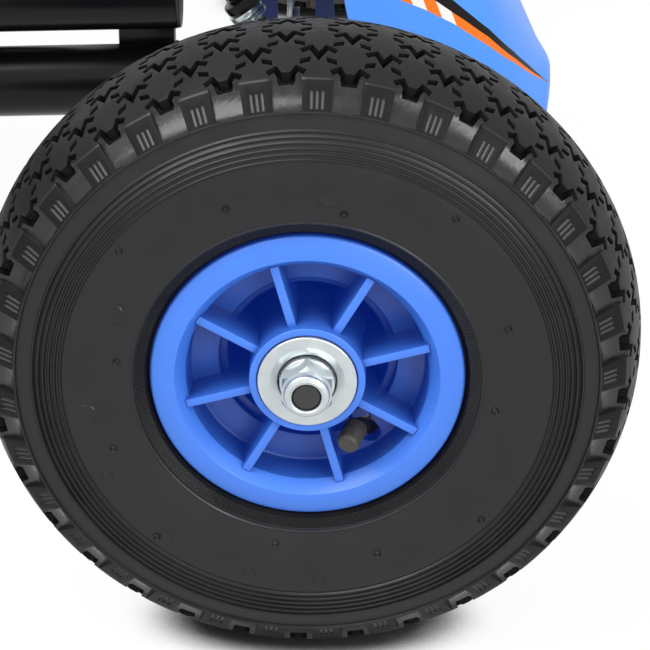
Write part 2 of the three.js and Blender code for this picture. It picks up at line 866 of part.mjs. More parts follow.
// The inner eyes of both rods stack on one stud under the drop arm.
function makeTieRod(side, layer) {
  const y = side * kingpinY;
  const outerEnds = [[armPinX, y, eyeTop - outerEyeThickness], [armPinX, y, eyeTop]];
  const outerEye = bar(...outerEnds, outerEyeRadius, roundSides);
  const innerTop = -innerEyeFirst - layer * innerEyeStep;
  const innerEnds = [
    onColumn(innerTop - innerEyeThickness, -dropArmLength),
    onColumn(innerTop, -dropArmLength),
  ];
  const innerEye = bar(...innerEnds, innerEyeRadius, roundSides);
  const reach = [side * studRadius, side * tabLength].sort((a, b) => a - b);
  const tab = columnBlock(
    [innerTop - innerEyeThickness, innerTop],
    [-dropArmLength - tabWidth / 2, -dropArmLength + tabWidth / 2],
    reach,
  );
  const innerMiddle = innerTop - innerEyeThickness / 2;
  const rodStart = onColumn(innerMiddle, -dropArmLength, side * (tabLength - tabLap));
  const rodEnd = [armPinX, y - side * armPinHeadRadius, eyeTop - outerEyeThickness / 2];
  const whole = joined(outerEye, innerEye, tab, bar(rodStart, rodEnd, rodRadius, smallSides));
  return cut(
    whole,
    bore(...innerEnds, innerEyeBore, smallSides),
    bore(...outerEnds, armPinRadius + gap, smallSides),
  );
}

for (const [sideName, side, layer] of [['right', -1, 1], ['left', 1, 0]]) {
  addPiece(`knuckle_${sideName}`, makeKnuckle(side), 'blackPaint');
  addPiece(`kingpin_${sideName}`, makeKingpin(side), 'zincPlate');
  addPiece(`tie_rod_${sideName}`, makeTieRod(side, layer), 'zincPlate');
}

// Steering column and wheel

function makeSteeringShaft() {
  const shaft = bar(onColumn(0), onColumn(columnLength + shaftEnd), shaftRadius);
  const arm = columnBlock(
    [0, dropArmThickness],
    [-dropArmLength - dropArmEnd, shaftRadius + slack],
    [-dropArmHalfWidth, dropArmHalfWidth],
  );
  const studEnds = [onColumn(overrun, -dropArmLength), onColumn(-studLength, -dropArmLength)];
  const stud = bar(...studEnds, studRadius, smallSides);
  const studHead = bar(
    onColumn(-studLength, -dropArmLength),
    onColumn(-studLength + studHeadHeight, -dropArmLength),
    studHeadRadius,
    smallSides,
  );
  return joined(shaft, arm, stud, studHead);
}
addPiece('steering_shaft', makeSteeringShaft(), 'blackPaint');

const bushEnds = [onColumn(housingStart), onColumn(housingEnd)];
const columnBush = cut(bar(...bushEnds, columnBushRadius), bore(...bushEnds, shaftRadius + gap));
addPiece('column_bush', columnBush, 'whitePlastic');

function makeSteeringWheel() {
  const geometry = new THREE.TorusGeometry(steeringWheelRadius, gripRadius, gripSides, gripSteps);
  const tilt = new THREE.Quaternion().setFromUnitVectors(new THREE.Vector3(0, 0, 1), columnUp);
  geometry.applyQuaternion(tilt);
  geometry.translate(...onColumn(columnLength));
  const spokes = [-1, 0, 1].map((turn) => {
    const spoke = new THREE.BoxGeometry(steeringWheelRadius, spokeWidth, spokeThickness);
    spoke.translate(-steeringWheelRadius / 2, 0, 0);
    spoke.rotateZ((turn * Math.PI) / 2);
    spoke.applyQuaternion(tilt);
    spoke.translate(...onColumn(columnLength));
    return asSolid(spoke);
  });
  const hubEnds = [
    onColumn(columnLength - steeringHubLength / 2),
    onColumn(columnLength + steeringHubLength / 2),
  ];
  const whole = joined(asSolid(geometry), ...spokes, bar(...hubEnds, steeringHubRadius));
  return cut(whole, bore(...hubEnds, shaftRadius + gap));
}
addPiece('steering_wheel', makeSteeringWheel(), 'gripFoam');

// Crank, pedals and chain drive

function makeCrank() {
  const axle = bar([crankX, -crankArmY, crankZ], [crankX, crankArmY, crankZ], crankAxleRadius);
  const side = (sign) => {
    const [armX, endX] = [crankX - sign * crankArmHalf, crankX + sign * (crankLength + crankArmHalf)];
    const [lowX, highX] = [armX, endX].sort((a, b) => a - b);
    const [lowY, highY] = [sign * crankArmY, sign * (crankArmY + crankArmThickness)].sort((a, b) => a - b);
    const arm = block([lowX, lowY, crankZ - crankArmHalf], [highX, highY, crankZ + crankArmHalf]);
    const pinX = crankX + sign * crankLength;
    const pinTip = sign * (crankArmY + pedalPinLength);
    const pin = bar([pinX, lowY, crankZ], [pinX, pinTip, crankZ], pedalPinRadius);
    return [arm, pin];
  };
  return joined(axle, ...side(-1), ...side(1));
}
addPiece('crank', makeCrank(), 'blackPaint');

for (const [sideName, side] of [['right', -1], ['left', 1]]) {
  const ys = [side * crankShellHalf, side * (crankShellHalf - crankBushLength)];
  const bushRing = cut(
    bar([crankX, ys[0], crankZ], [crankX, ys[1], crankZ], crankBushRadius),
    bore([crankX, ys[0], crankZ], [crankX, ys[1], crankZ], crankAxleRadius + gap),
  );
  addPiece(`crank_bush_${sideName}`, bushRing, 'whitePlastic');

  const pedalX = crankX + side * crankLength;
  const innerY = crankArmY + crankArmThickness + pedalStart;
  const [lowY, highY] = [side * innerY, side * (innerY + pedalWidth)].sort((a, b) => a - b);
  const body = block(
    [pedalX - pedalLength / 2, lowY, crankZ - pedalHeight / 2],
    [pedalX + pedalLength / 2, highY, crankZ + pedalHeight / 2],
  );
  const pinBore = bore([pedalX, lowY, crankZ], [pedalX, highY, crankZ], pedalPinRadius + gap);
  const slots = [-1, 1].map((end) => {
    const middleX = pedalX + end * pedalSlotOffset;
    const middleY = (lowY + highY) / 2;
    return block(
      [middleX - pedalSlotWidth / 2, middleY - pedalSlotHalf, crankZ - pedalHeight],
      [middleX + pedalSlotWidth / 2, middleY + pedalSlotHalf, crankZ + pedalHeight],
    );
  });
  addPiece(`pedal_${sideName}`, cut(body, pinBore, ...slots), 'blackPlastic');
}

// A toothed wheel: points on its rim rise and fall once for each tooth.
function makeSprocket(x, z, teeth, boreRadius) {
  const pitchRadius = (teeth * chainPitch) / (2 * Math.PI);
  const outline = [];
  for (let i = 0; i < 2 * teeth; i += 1) {
    const radius = pitchRadius + (i % 2 ? -toothHeight / 2 : toothHeight / 2);
    const turn = (Math.PI * i) / teeth;
    outline.push([x + radius * Math.cos(turn), z + radius * Math.sin(turn)]);
  }
  const [lowY, highY] = [chainY - sprocketThickness / 2, chainY + sprocketThickness / 2];
  return cut(panel(outline, lowY, highY), bore([x, lowY, z], [x, highY, z], boreRadius + gap));
}
addPiece('chainring', makeSprocket(crankX, crankZ, chainringTeeth, crankAxleRadius), 'greySteel');
addPiece('rear_sprocket', makeSprocket(-wheelbase, axleZ, sprocketTeeth, rearAxleRadius), 'greySteel');

// An outline round two circles and the straight runs between them.
function beltOutline(frontRadius, rearRadius) {
  const [dx, dz] = [crankX + wheelbase, crankZ - axleZ];
  const tilt = Math.atan2(dz, dx);
  const lean = Math.acos((frontRadius - rearRadius) / Math.hypot(dx, dz));
  const outline = [];
  for (let i = 0; i <= beltSteps; i += 1) {
    const turn = tilt - lean + (2 * lean * i) / beltSteps;
    outline.push([crankX + frontRadius * Math.cos(turn), crankZ + frontRadius * Math.sin(turn)]);
  }
  for (let i = 0; i <= beltSteps; i += 1) {
    const turn = tilt + lean + (2 * (Math.PI - lean) * i) / beltSteps;
    outline.push([-wheelbase + rearRadius * Math.cos(turn), axleZ + rearRadius * Math.sin(turn)]);
  }
  return outline;
}

const frontTip = (chainringTeeth * chainPitch) / (2 * Math.PI) + toothHeight / 2;
const rearTip = (sprocketTeeth * chainPitch) / (2 * Math.PI) + toothHeight / 2;

function makeChain() {
  const inside = beltOutline(
    (frontTip + slack) * chainClearShare,
    (rearTip + slack) * chainClearShare,
  );
  const outside = beltOutline(
    frontTip * chainClearShare + chainHeight,
    rearTip * chainClearShare + chainHeight,
  );
  const [lowY, highY] = [chainY - chainWidth / 2, chainY + chainWidth / 2];
  return cut(panel(outside, lowY, highY), panel(inside, lowY - overrun, highY + overrun));
}
addPiece('chain', makeChain(), 'greySteel');

function makeChainGuard() {
  const reach = chainHeight + guardRoom;
  const outerLine = beltOutline(frontTip + reach + guardWall, rearTip + reach + guardWall);
  const innerLine = beltOutline(frontTip + reach, rearTip + reach);
  const outside = panel(outerLine, guardInnerY, guardOuterY);
  const inside = panel(innerLine, guardInnerY - overrun, guardOuterY - guardWall);
  const holeAt = (x, z, radius) => bore([x, guardInnerY, z], [x, guardOuterY, z], radius + guardWall);
  const tabZ = railZ(guardTabX);
  const tab = block(
    [guardTabX - guardTabLength / 2, tubeRadius + gap, tabZ - guardTabHeight / 2],
    [guardTabX + guardTabLength / 2, guardOuterY - guardWall / 2, tabZ + guardTabHeight / 2],
  );
  const crankHole = holeAt(crankX, crankZ, crankAxleRadius);
  const axleHole = holeAt(-wheelbase, axleZ, rearAxleRadius);
  return joined(cut(outside, inside, crankHole, axleHole), tab);
}
addPiece('chain_guard', makeChainGuard(), 'blackPlastic');

// Seat, clamp and knob

function makeSeat() {
  const half = seatWidth / 2;
  const outer = [
    [seatFrontX, seatBaseZ],
    [seatFrontX, seatBaseZ + bolsterFront],
    [seatHeelX + backWall, seatBaseZ + bolsterHeel],
    [seatTopX + backWall, seatTopZ],
    [seatTopX, seatTopZ],
    [seatHeelX, seatBaseZ],
  ];
  const inner = [
    [seatFrontX + overrun, seatBaseZ + seatWall],
    [seatFrontX + overrun, seatTopZ + overrun],
    [seatTopX + seatWall, seatTopZ + overrun],
    [seatHeelX + seatWall, seatBaseZ + seatWall],
  ];
  return cut(panel(outer, -half, half), panel(inner, -half + seatWall, half - seatWall));
}
addPiece('seat', makeSeat(), 'blackPlastic');

const clampRearX = clampX - clampLength / 2;
const clampFrontX = clampX + clampLength / 2;

function makeSeatClamp() {
  const channelHalf = tubeRadius + slack;
  const top = seatBaseZ - gap;
  const saddle = panel([
    [clampRearX, railZ(clampRearX)],
    [clampFrontX, railZ(clampFrontX)],
    [clampFrontX, top],
    [clampRearX, top],
  ], -clampHalfWidth, clampHalfWidth);
  const plate = block([clampRearX, -clampTopHalf, top - clampPlate], [clampFrontX, clampTopHalf, top]);
  const railRoom = bore(
    [clampRearX, 0, railZ(clampRearX)],
    [clampFrontX, 0, railZ(clampFrontX)],
    channelHalf,
  );
  const hollow = panel([
    [clampRearX - overrun, railZ(clampRearX) + tubeRadius + clampCheek],
    [clampFrontX + overrun, railZ(clampFrontX) + tubeRadius + clampCheek],
    [clampFrontX + overrun, top - clampPlate],
    [clampRearX - overrun, top - clampPlate],
  ], -clampHalfWidth + clampCheek, clampHalfWidth - clampCheek);
  const screwHole = bore(
    [clampX, -clampHalfWidth, railZ(clampX) + knobRise],
    [clampX, 0, railZ(clampX) + knobRise],
    knobScrewRadius + gap,
  );
  return cut(joined(saddle, plate), railRoom, hollow, screwHole);
}
addPiece('seat_clamp', makeSeatClamp(), 'blackPaint');

function makeSeatKnob() {
  const z = railZ(clampX) + knobRise;
  const start = -clampHalfWidth - slack;
  const head = bar([clampX, start, z], [clampX, start - knobLength, z], knobRadius);
  const tip = [clampX, -tubeRadius - slack, z];
  const screw = bar([clampX, start - overrun, z], tip, knobScrewRadius);
  return joined(head, screw);
}
addPiece('seat_knob', makeSeatKnob(), 'blackPlastic');

// Fairing: a side outline and a plan outline cross, and a smaller pair hollows them out

function makeFairing() {
  const hoodLine = [
    [noseX, noseTopZ],
    [hoodFootX, hoodFootZ],
    [hoodMidX, hoodMidZ],
    [hoodTopX, hoodTopZ],
  ];
  const side = [
    [noseX, noseBottomZ],
    ...hoodLine,
    [hoodTopX, hoodTopZ - peakDrop],
    [sideRearTopX, sideRearTopZ],
    [sideRearMidX, sideRearMidZ],
    [sideRearX, notchTopZ],
    [notchFrontX, notchTopZ],
    [notchFrontX, skirtTopZ],
    [skirtRearX, skirtTopZ],
    [skirtRearX, skirtZ],
    [chinX - fairingWall, skirtZ],
    [chinX, chinZ],
  ];
  const plan = (inset) => {
    const oneSide = [
      [noseX - inset, fairingHalfNose - inset],
      [noseShoulderX - inset, fairingHalfShoulder - inset],
      [cheekX - inset, fairingHalfCheek - inset],
      [0, fairingHalfRear - inset],
      [hoodTopX - overrun - inset, fairingHalfRear - inset],
    ];
    return [...oneSide, ...oneSide.map(([x, y]) => [x, -y]).reverse()];
  };
  const wall = fairingWall;
  const hollow = [
    [noseX - wall, noseBottomZ],
    [noseX - wall, noseTopZ - wall],
    [hoodFootX - wall, hoodFootZ - wall],
    [hoodMidX - wall, hoodMidZ - wall],
    [hoodTopX - wall, hoodTopZ - wall],
    [hoodTopX - wall, skirtZ - overrun],
    [chinX - 2 * wall, skirtZ - overrun],
    [chinX - wall, chinZ],
  ];
  const half = fairingHalfRear + overrun;
  const outer = panel(side, -half, half).intersect(slab(plan(0), skirtZ - overrun, hoodTopZ + overrun));
  const inner = panel(hollow, -half, half).intersect(slab(plan(wall), skirtZ - 2 * overrun, hoodTopZ));
  const vent = block(
    [ventRearX, -half, skirtZ + fairingWall],
    [ventFrontX, half, skirtTopZ - fairingWall],
  );
  const beamSlot = block(
    [beamSlotRearX, -half, beamZ - beamRadius - fairingWall],
    [notchFrontX, half, notchTopZ],
  );
  return cut(outer, inner, vent, beamSlot);
}
addPiece('fairing', makeFairing(), 'fairingPlastic');

// Where the inside of the sloped nose lies at a height.
function noseInnerX(z) {
  const share = (z - noseTopZ + fairingWall) / (hoodFootZ - noseTopZ);
  return noseX - fairingWall - share * (noseX - hoodFootX);
}

// A strap whose ends turn up: the front one leans against the inside of the nose.
function makeFairingBracket() {
  const strapZ = spineZ(spineFrontX) + tubeRadius + gap;
  const strapTop = strapZ + bracketThickness;
  const frontTop = strapTop + bracketFrontUp;
  const rearTop = strapZ + bracketUpstand;
  return panel([
    [bracketRearX, strapZ],
    [noseInnerX(strapZ) - slack, strapZ],
    [noseInnerX(frontTop) - slack, frontTop],
    [noseInnerX(frontTop) - slack - bracketThickness, frontTop],
    [noseInnerX(strapTop) - slack - bracketThickness, strapTop],
    [bracketRearX + bracketThickness, strapTop],
    [bracketRearX + bracketThickness, rearTop],
    [bracketRearX, rearTop],
  ], -bracketWidth / 2, bracketWidth / 2);
}
addPiece('fairing_bracket', makeFairingBracket(), 'zincPlate');

// Brake

function makeBrakeLever() {
  const z = spineZ(brakeX);
  const shaft = bar([brakeX, brakeShaftStart, z], [brakeX, brakeShaftEnd, z], brakeShaftRadius);
  const knee = [leverKneeX, leverY, leverKneeZ];
  const lower = bar([brakeX, leverY, z], knee, leverRadius, smallSides);
  const upper = bar(knee, [leverTopX, leverY, leverTopZ], leverRadius, smallSides);
  const plateInner = tyreRadius + shoeGap + shoeThickness + gap;
  const plateMiddle = plateInner + shoePlate / 2;
  const arm = panel([
    [brakeX + leverRadius, z],
    shoePlace(plateInner + brakeArmDepth, 0),
    shoePlace(plateMiddle, shoeLength / 2),
    shoePlace(plateMiddle, -shoeLength / 2 - shoePlateLap + slack),
    [brakeX - leverRadius, z],
  ], -track / 2 - leverRadius, -track / 2 + leverRadius);
  return joined(shaft, lower, upper, arm, shoeBlock(plateInner, shoePlate, shoeLength + 2 * shoePlateLap));
}

// A place [x, z] beside the rear right tyre: out from the axle, then along the tyre.
function shoePlace(radius, along) {
  const [cos, sin] = [Math.cos(shoeAngle * degree), Math.sin(shoeAngle * degree)];
  return [-wheelbase + radius * cos - along * sin, axleZ + radius * sin + along * cos];
}

function shoeBlock(innerRadius, thickness, length) {
  const outline = [
    shoePlace(innerRadius, -length / 2),
    shoePlace(innerRadius + thickness, -length / 2),
    shoePlace(innerRadius + thickness, length / 2),
    shoePlace(innerRadius, length / 2),
  ];
  return panel(outline, -track / 2 - shoeWidth / 2, -track / 2 + shoeWidth / 2);
}
addPiece('brake_lever', makeBrakeLever(), 'blackPaint');
addPiece('brake_shoe', shoeBlock(tyreRadius + shoeGap, shoeThickness, shoeLength), 'tyreRubber');

// The origin is the middle of the footprint.
kart.updateMatrixWorld(true);
const whole = new THREE.Box3().setFromObject(kart);
const middle = whole.getCenter(new THREE.Vector3());
kart.position.set(-middle.x, -middle.y, -whole.min.z);

export default kart;
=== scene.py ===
import math

import bmesh
import bpy
from mathutils import Matrix, Vector


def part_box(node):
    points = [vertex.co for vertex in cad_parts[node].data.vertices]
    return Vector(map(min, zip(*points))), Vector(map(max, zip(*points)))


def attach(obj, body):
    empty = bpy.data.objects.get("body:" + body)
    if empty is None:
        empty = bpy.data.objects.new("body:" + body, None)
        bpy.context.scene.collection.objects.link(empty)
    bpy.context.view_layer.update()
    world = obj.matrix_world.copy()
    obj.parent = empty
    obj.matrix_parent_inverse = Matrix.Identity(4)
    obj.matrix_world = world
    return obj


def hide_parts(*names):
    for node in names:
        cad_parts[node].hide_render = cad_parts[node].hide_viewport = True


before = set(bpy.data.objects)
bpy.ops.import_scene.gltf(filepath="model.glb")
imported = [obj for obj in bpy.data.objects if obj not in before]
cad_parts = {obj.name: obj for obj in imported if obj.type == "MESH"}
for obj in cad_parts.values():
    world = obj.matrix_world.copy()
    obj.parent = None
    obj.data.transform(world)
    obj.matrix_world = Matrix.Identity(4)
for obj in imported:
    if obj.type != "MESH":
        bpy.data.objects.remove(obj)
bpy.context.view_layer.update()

# A child's pedal go-kart. Shapes are modelled in millimetres and settled in metres in the kart's frame.
MM = 0.001
FULL_TURN = 2 * math.pi

# The photograph's frame in pixels, and its camera in millimetres and degrees
PHOTO_PIXELS = 650
SENSOR_MM = 36
FOCAL_PIXELS = 3050
CAMERA_DISTANCE = 1200
CAMERA_ELEVATION = 27.765
CAMERA_AZIMUTH = 0.922
CAMERA_ASIDE = 6.173
CAMERA_UP = 3.445

# Tyre, in millimetres
TYRE_RADIUS = 130
LUGS = 33
FIRST_LUG_ANGLE = 1.9
INNER_DRAW = 0.17
TREAD_PITCH = FULL_TURN * TYRE_RADIUS / LUGS
CROWN_CURVE = 135
GROOVE_DEPTH = 4.2
GROOVE_WIDTH = 2.6
DIAMOND_ROW = 10.2
LUG_HALF = 6.25
SLOT_WIDTH, SLOT_DEPTH, SLOT_PITCH = 1.1, 0.8, 2.3
RING_RADIUS = 112
WALL_RADIUS = 88
WALL_HALF = 42.5
WALL_CURVE_OUT = 160
WALL_CURVE_IN = 125
COLUMNS_PER_LUG = 6
KNURL_RIBS = 480
KNURL_INNER, KNURL_OUTER = 0.622, 0.662

# Rim, bearing, nut and valve, in millimetres
RIM_STEPS = 96
FIRST_RIB_ANGLE = 30
RIB_COUNT = 8
RIB_THICKNESS = 3.4
RIB_TOP = 35
RIB_START, RIB_REACH = 20.4, 28
RIB_DRAFT = 1.25
HUB_TOP = 38.4
HUB_RADIUS = 21.9
POCKET_RADIUS, POCKET_Y = 19.45, 28.8
SHELF_Y = 19.5
SHELF_INNER = 34.4
WEB_Y = -5
VALVE_ANGLE = 143.6
CAP_TIP = (32.4, 151.9, 38)
CAP_NECK = (32.4, 144.3, 27)

# Layout of the kart, in millimetres: X forward from the front axle, Y to the driver's left, Z up
WHEELBASE = 800
AXLE_Z = 130
BEAM_X = 24
BEAM_Z = 97
KINGPIN_Y = 267
PIN_X = -16
COLUMN_LENGTH = 440
CRANK = (-180, 180)
CRANK_LENGTH = 110
PITCH = 12.7
RING_TEETH = 26
SPROCKET_TEETH = 13
CHAIN_Y = 40
TUBE_RADIUS, TUBE_BORE = 17.5, 15.5
SPINE_REAR, SPINE_FRONT = -786.7, 9.7
SPINE_LOW, SPINE_RISE = 75, 22
RAIL_REAR, RAIL_FRONT = -700, -71.5
RAIL_LIFT = 45.2
CLAMP_X = -540
BRAKE_X = -640
SHOE_ANGLE = 25
ROUND_STEPS = 40
KART = Matrix.Translation((WHEELBASE / 2, 0, 0))
LEAN_COS, LEAN_SIN = math.cos(math.radians(55)), math.sin(math.radians(55))
COLUMN = Matrix(((0, -LEAN_COS, LEAN_SIN, -15), (1, 0, 0, 0), (0, LEAN_SIN, LEAN_COS, 150), (0, 0, 0, 1)))
COLUMN_TOP = COLUMN @ Matrix.Translation((0, COLUMN_LENGTH, 0))
LIE_DOWN = Matrix.Rotation(math.radians(-90), 4, "X")
SIDES = (("right", -1), ("left", 1))

# Where the stripe on the fairing lies in the kart's frame, in millimetres
STRIPE_REAR, STRIPE_FRONT = 380, 515
STRIPE_LOW, STRIPE_HIGH = 100, 300
BAR_SLANT, BARS_REAR, BARS_LENGTH = 0.36, 470, 60


def colour(code):
    """A colour written as an sRGB hex value, turned to linear with full opacity."""
    shares = [int(code[i:i + 2], 16) / 255 for i in (0, 2, 4)]
    linear = [s / 12.92 if s <= 0.04045 else ((s + 0.055) / 1.055) ** 2.4 for s in shares]
    return (*linear, 1)


def per_metre(size_mm):
    """The texture scale at which a pattern's features are this many millimetres across."""
    return 1 / (size_mm * MM)


def add(tree, kind, inputs=None, **settings):
    """Adds a node with its settings. An input is a value, or a socket to link from."""
    made = tree.nodes.new(kind)
    for name, value in settings.items():
        setattr(made, name, value)
    for key, value in (inputs or {}).items():
        if isinstance(value, bpy.types.NodeSocket):
            tree.links.new(value, made.inputs[key])
        else:
            made.inputs[key].default_value = value
    return made


def start_material(name):
    """A new material with its shader and output, and the coordinates of the piece."""
    material = bpy.data.materials.new(name)
    material.use_nodes = True
    tree = material.node_tree
    tree.nodes.clear()
    shader = add(tree, "ShaderNodeBsdfPrincipled")
    add(tree, "ShaderNodeOutputMaterial", {"Surface": shader.outputs["BSDF"]})
    place = add(tree, "ShaderNodeTexCoord")
    return material, tree, shader, place


# Materials


def moulded_finish(name, dark, light, roughness, grain_mm, grain_depth, cloud_mm=18, rough_spread=0.08):
    """A moulded or painted surface: two close colours in soft clouds, uneven gloss and a fine grain."""
    material, tree, shader, place = start_material(name)
    at = place.outputs["Object"]
    clouds = add(tree, "ShaderNodeTexNoise", {"Vector": at, "Scale": per_metre(cloud_mm), "Detail": 4.0})
    tint = add(tree, "ShaderNodeMix", {"Factor": clouds.outputs["Fac"], "A": colour(dark), "B": colour(light)},
               data_type="RGBA")
    tree.links.new(tint.outputs["Result"], shader.inputs["Base Color"])
    gloss = add(tree, "ShaderNodeMapRange", {
        "Value": clouds.outputs["Fac"],
        "From Min": 0.3,
        "From Max": 0.7,
        "To Min": roughness - rough_spread,
        "To Max": roughness + rough_spread,
    })
    tree.links.new(gloss.outputs["Result"], shader.inputs["Roughness"])
    grain = add(tree, "ShaderNodeTexNoise", {"Vector": at, "Scale": per_metre(grain_mm), "Detail": 3.0})
    bump = add(tree, "ShaderNodeBump", {
        "Height": grain.outputs["Fac"],
        "Distance": grain_depth * MM,
        "Strength": 0.6,
    })
    tree.links.new(bump.outputs["Normal"], shader.inputs["Normal"])
    return material, tree, shader, place


def moulded_rubber():
    """Natural rubber as it leaves the mould: near black, half glossy, with a knurled ring by the rim, whose ribs
    are a wave round the tyre's UV map that only shows between two radii."""
    material, tree, shader, place = moulded_finish("moulded_natural_rubber", "131315", "1b1b1d", 0.4, 0.7, 0.06)
    shader.inputs["Specular IOR Level"].default_value = 0.36
    turn = add(tree, "ShaderNodeSeparateXYZ", {"Vector": place.outputs["UV"]})
    phase = add(tree, "ShaderNodeMath", {0: turn.outputs["X"], 1: FULL_TURN * KNURL_RIBS}, operation="MULTIPLY")
    ribs = add(tree, "ShaderNodeMath", {0: phase.outputs["Value"]}, operation="SINE")
    inner = add(tree, "ShaderNodeMath", {0: turn.outputs["Y"], 1: KNURL_INNER}, operation="GREATER_THAN")
    outer = add(tree, "ShaderNodeMath", {0: turn.outputs["Y"], 1: KNURL_OUTER}, operation="LESS_THAN")
    ring = add(tree, "ShaderNodeMath", {0: inner.outputs["Value"], 1: outer.outputs["Value"]},
               operation="MULTIPLY")
    knurl = add(tree, "ShaderNodeMath", {0: ring.outputs["Value"], 1: ribs.outputs["Value"]},
                operation="MULTIPLY")
    grain = shader.inputs["Normal"].links[0].from_node
    bump = add(tree, "ShaderNodeBump", {
        "Height": knurl.outputs["Value"],
        "Distance": 1.1 * MM,
        "Strength": 1.0,
        "Normal": grain.outputs["Normal"],
    })
    tree.links.new(bump.outputs["Normal"], shader.inputs["Normal"])
    return material


def plain_finish(name, dark, light, roughness, grain_mm, grain_depth, cloud_mm=25, rough_spread=0.05, shine=None,
                 metallic=0.0):
    """A finish that needs no pattern of its own. Shine, where given, is the level of its clear reflection."""
    material, _, shader, _ = moulded_finish(name, dark, light, roughness, grain_mm, grain_depth, cloud_mm,
                                            rough_spread)
    shader.inputs["Metallic"].default_value = metallic
    if shine is not None:
        shader.inputs["Specular IOR Level"].default_value = shine
    return material


def blue_polypropylene():
    """Injection moulded polypropylene: a strong blue with a satin face, with painted shade that darkens the pockets
    between the ribs and a faint painted blue glow in them.
    """
    material, tree, shader, _ = moulded_finish("blue_polypropylene", "3f78e0", "4882ea", 0.34, 1.4, 0.03, 30, 0.05)
    paint = shader.inputs["Base Color"].links[0].from_socket
    # Painted shade: ambient occlusion darkens the blue in the pockets, and a faint blue emission there is a painted
    # glow.
    reach = add(tree, "ShaderNodeAmbientOcclusion", {"Distance": 0.035}, samples=12)
    painted_pocket_shade = add(tree, "ShaderNodeMapRange", {
        "Value": reach.outputs["AO"], "From Min": 0.15, "From Max": 0.8, "To Min": 0.12, "To Max": 1.0,
    })
    blue_with_painted_shade = add(tree, "ShaderNodeMix", {"Factor": 1.0, "A": paint, "B": painted_pocket_shade.outputs["Result"]}, data_type="RGBA",
                blend_type="MULTIPLY")
    tree.links.new(blue_with_painted_shade.outputs["Result"], shader.inputs["Base Color"])
    painted_pocket_glow = add(tree, "ShaderNodeMapRange", {
        "Value": reach.outputs["AO"], "From Min": 0.15, "From Max": 0.75, "To Min": 0.34, "To Max": 0.0,
    })
    shader.inputs["Emission Color"].default_value = colour("0a2c9a")
    tree.links.new(painted_pocket_glow.outputs["Result"], shader.inputs["Emission Strength"])
    return material


def fairing_plastic():
    """Glossy painted polypropylene with a generic printed stripe: orange and white bars that taper to the nose
    under a black streak."""
    material, tree, shader, place = moulded_finish("glossy_blue_fairing", "5599ff", "5e9fff", 0.3, 6, 0.02, 60,
                                                   0.03)
    at = add(tree, "ShaderNodeSeparateXYZ", {"Vector": place.outputs["Object"]})
    ahead = add(tree, "ShaderNodeMapRange", {
        "Value": at.outputs["X"], "From Min": STRIPE_REAR * MM, "From Max": STRIPE_FRONT * MM,
    })
    height = add(tree, "ShaderNodeMapRange", {
        "Value": at.outputs["Z"], "From Min": STRIPE_LOW * MM, "From Max": STRIPE_HIGH * MM,
    })

    def above(line):
        curve = add(tree, "ShaderNodeFloatCurve", {"Value": ahead.outputs["Result"]})
        points = curve.mapping.curves[0].points
        spots = [((x + WHEELBASE / 2 - STRIPE_REAR) / (STRIPE_FRONT - STRIPE_REAR),
                  (z - STRIPE_LOW) / (STRIPE_HIGH - STRIPE_LOW)) for x, z in line]
        while len(points) < len(spots):
            points.new(0.5, 0.5)
        for point, spot in zip(points, spots):
            point.location = spot
            point.handle_type = "VECTOR"
        curve.mapping.update()
        over = add(tree, "ShaderNodeMath", {0: height.outputs["Result"], 1: curve.outputs["Value"]},
                   operation="GREATER_THAN")
        return over.outputs["Value"]

    low = above([(-20, 197), (12, 184), (36.6, 172.8), (48.5, 165.4), (61.8, 155.5), (79.2, 139.4), (92.7, 123.7),
                 (103.5, 109.2), (107.9, 104), (112, 99.5)])
    middle = above([(-20, 247), (5, 219), (25, 196), (52.6, 169), (67.4, 155.1), (79.1, 143.4), (92.7, 125.6),
                    (103.5, 110.1), (107.9, 104.2), (112, 99.5)])
    high = above([(-20, 270), (5, 241), (25, 212), (40, 193), (61.2, 166.5), (79.1, 146.9), (91.4, 129.7),
                  (99.1, 118), (104.4, 109.7), (107.9, 104.5), (112, 99.5)])
    lean = add(tree, "ShaderNodeMath", {0: at.outputs["Z"], 1: BAR_SLANT, 2: at.outputs["X"]},
               operation="MULTIPLY_ADD")
    step = add(tree, "ShaderNodeMapRange", {
        "Value": lean.outputs["Value"], "From Min": BARS_REAR * MM, "From Max": (BARS_REAR + BARS_LENGTH) * MM,
    })
    bars = add(tree, "ShaderNodeValToRGB", {"Fac": step.outputs["Result"]})
    ramp = bars.color_ramp
    ramp.interpolation = "CONSTANT"
    orange, white = colour("f87c2a"), colour("f4f0ee")
    ramp.elements[0].color = orange
    ramp.elements[1].position = 1.0
    ramp.elements[1].color = orange
    for start, tint in ((485, white), (489, orange), (494, white), (498, orange), (503.4, white), (508.5, orange),
                        (513.7, white), (518.6, orange)):
        ramp.elements.new((start - BARS_REAR) / BARS_LENGTH).color = tint
    paint = shader.inputs["Base Color"].links[0].from_socket
    layers = [(low, bars.outputs["Color"]), (middle, colour("1f1c1d")), (high, paint)]
    striped = paint
    for mask, tint in layers:
        striped = add(tree, "ShaderNodeMix", {"Factor": mask, "A": striped, "B": tint},
                      data_type="RGBA").outputs["Result"]
    tree.links.new(striped, shader.inputs["Base Color"])
    shader.inputs["Specular IOR Level"].default_value = 0.07
    return material


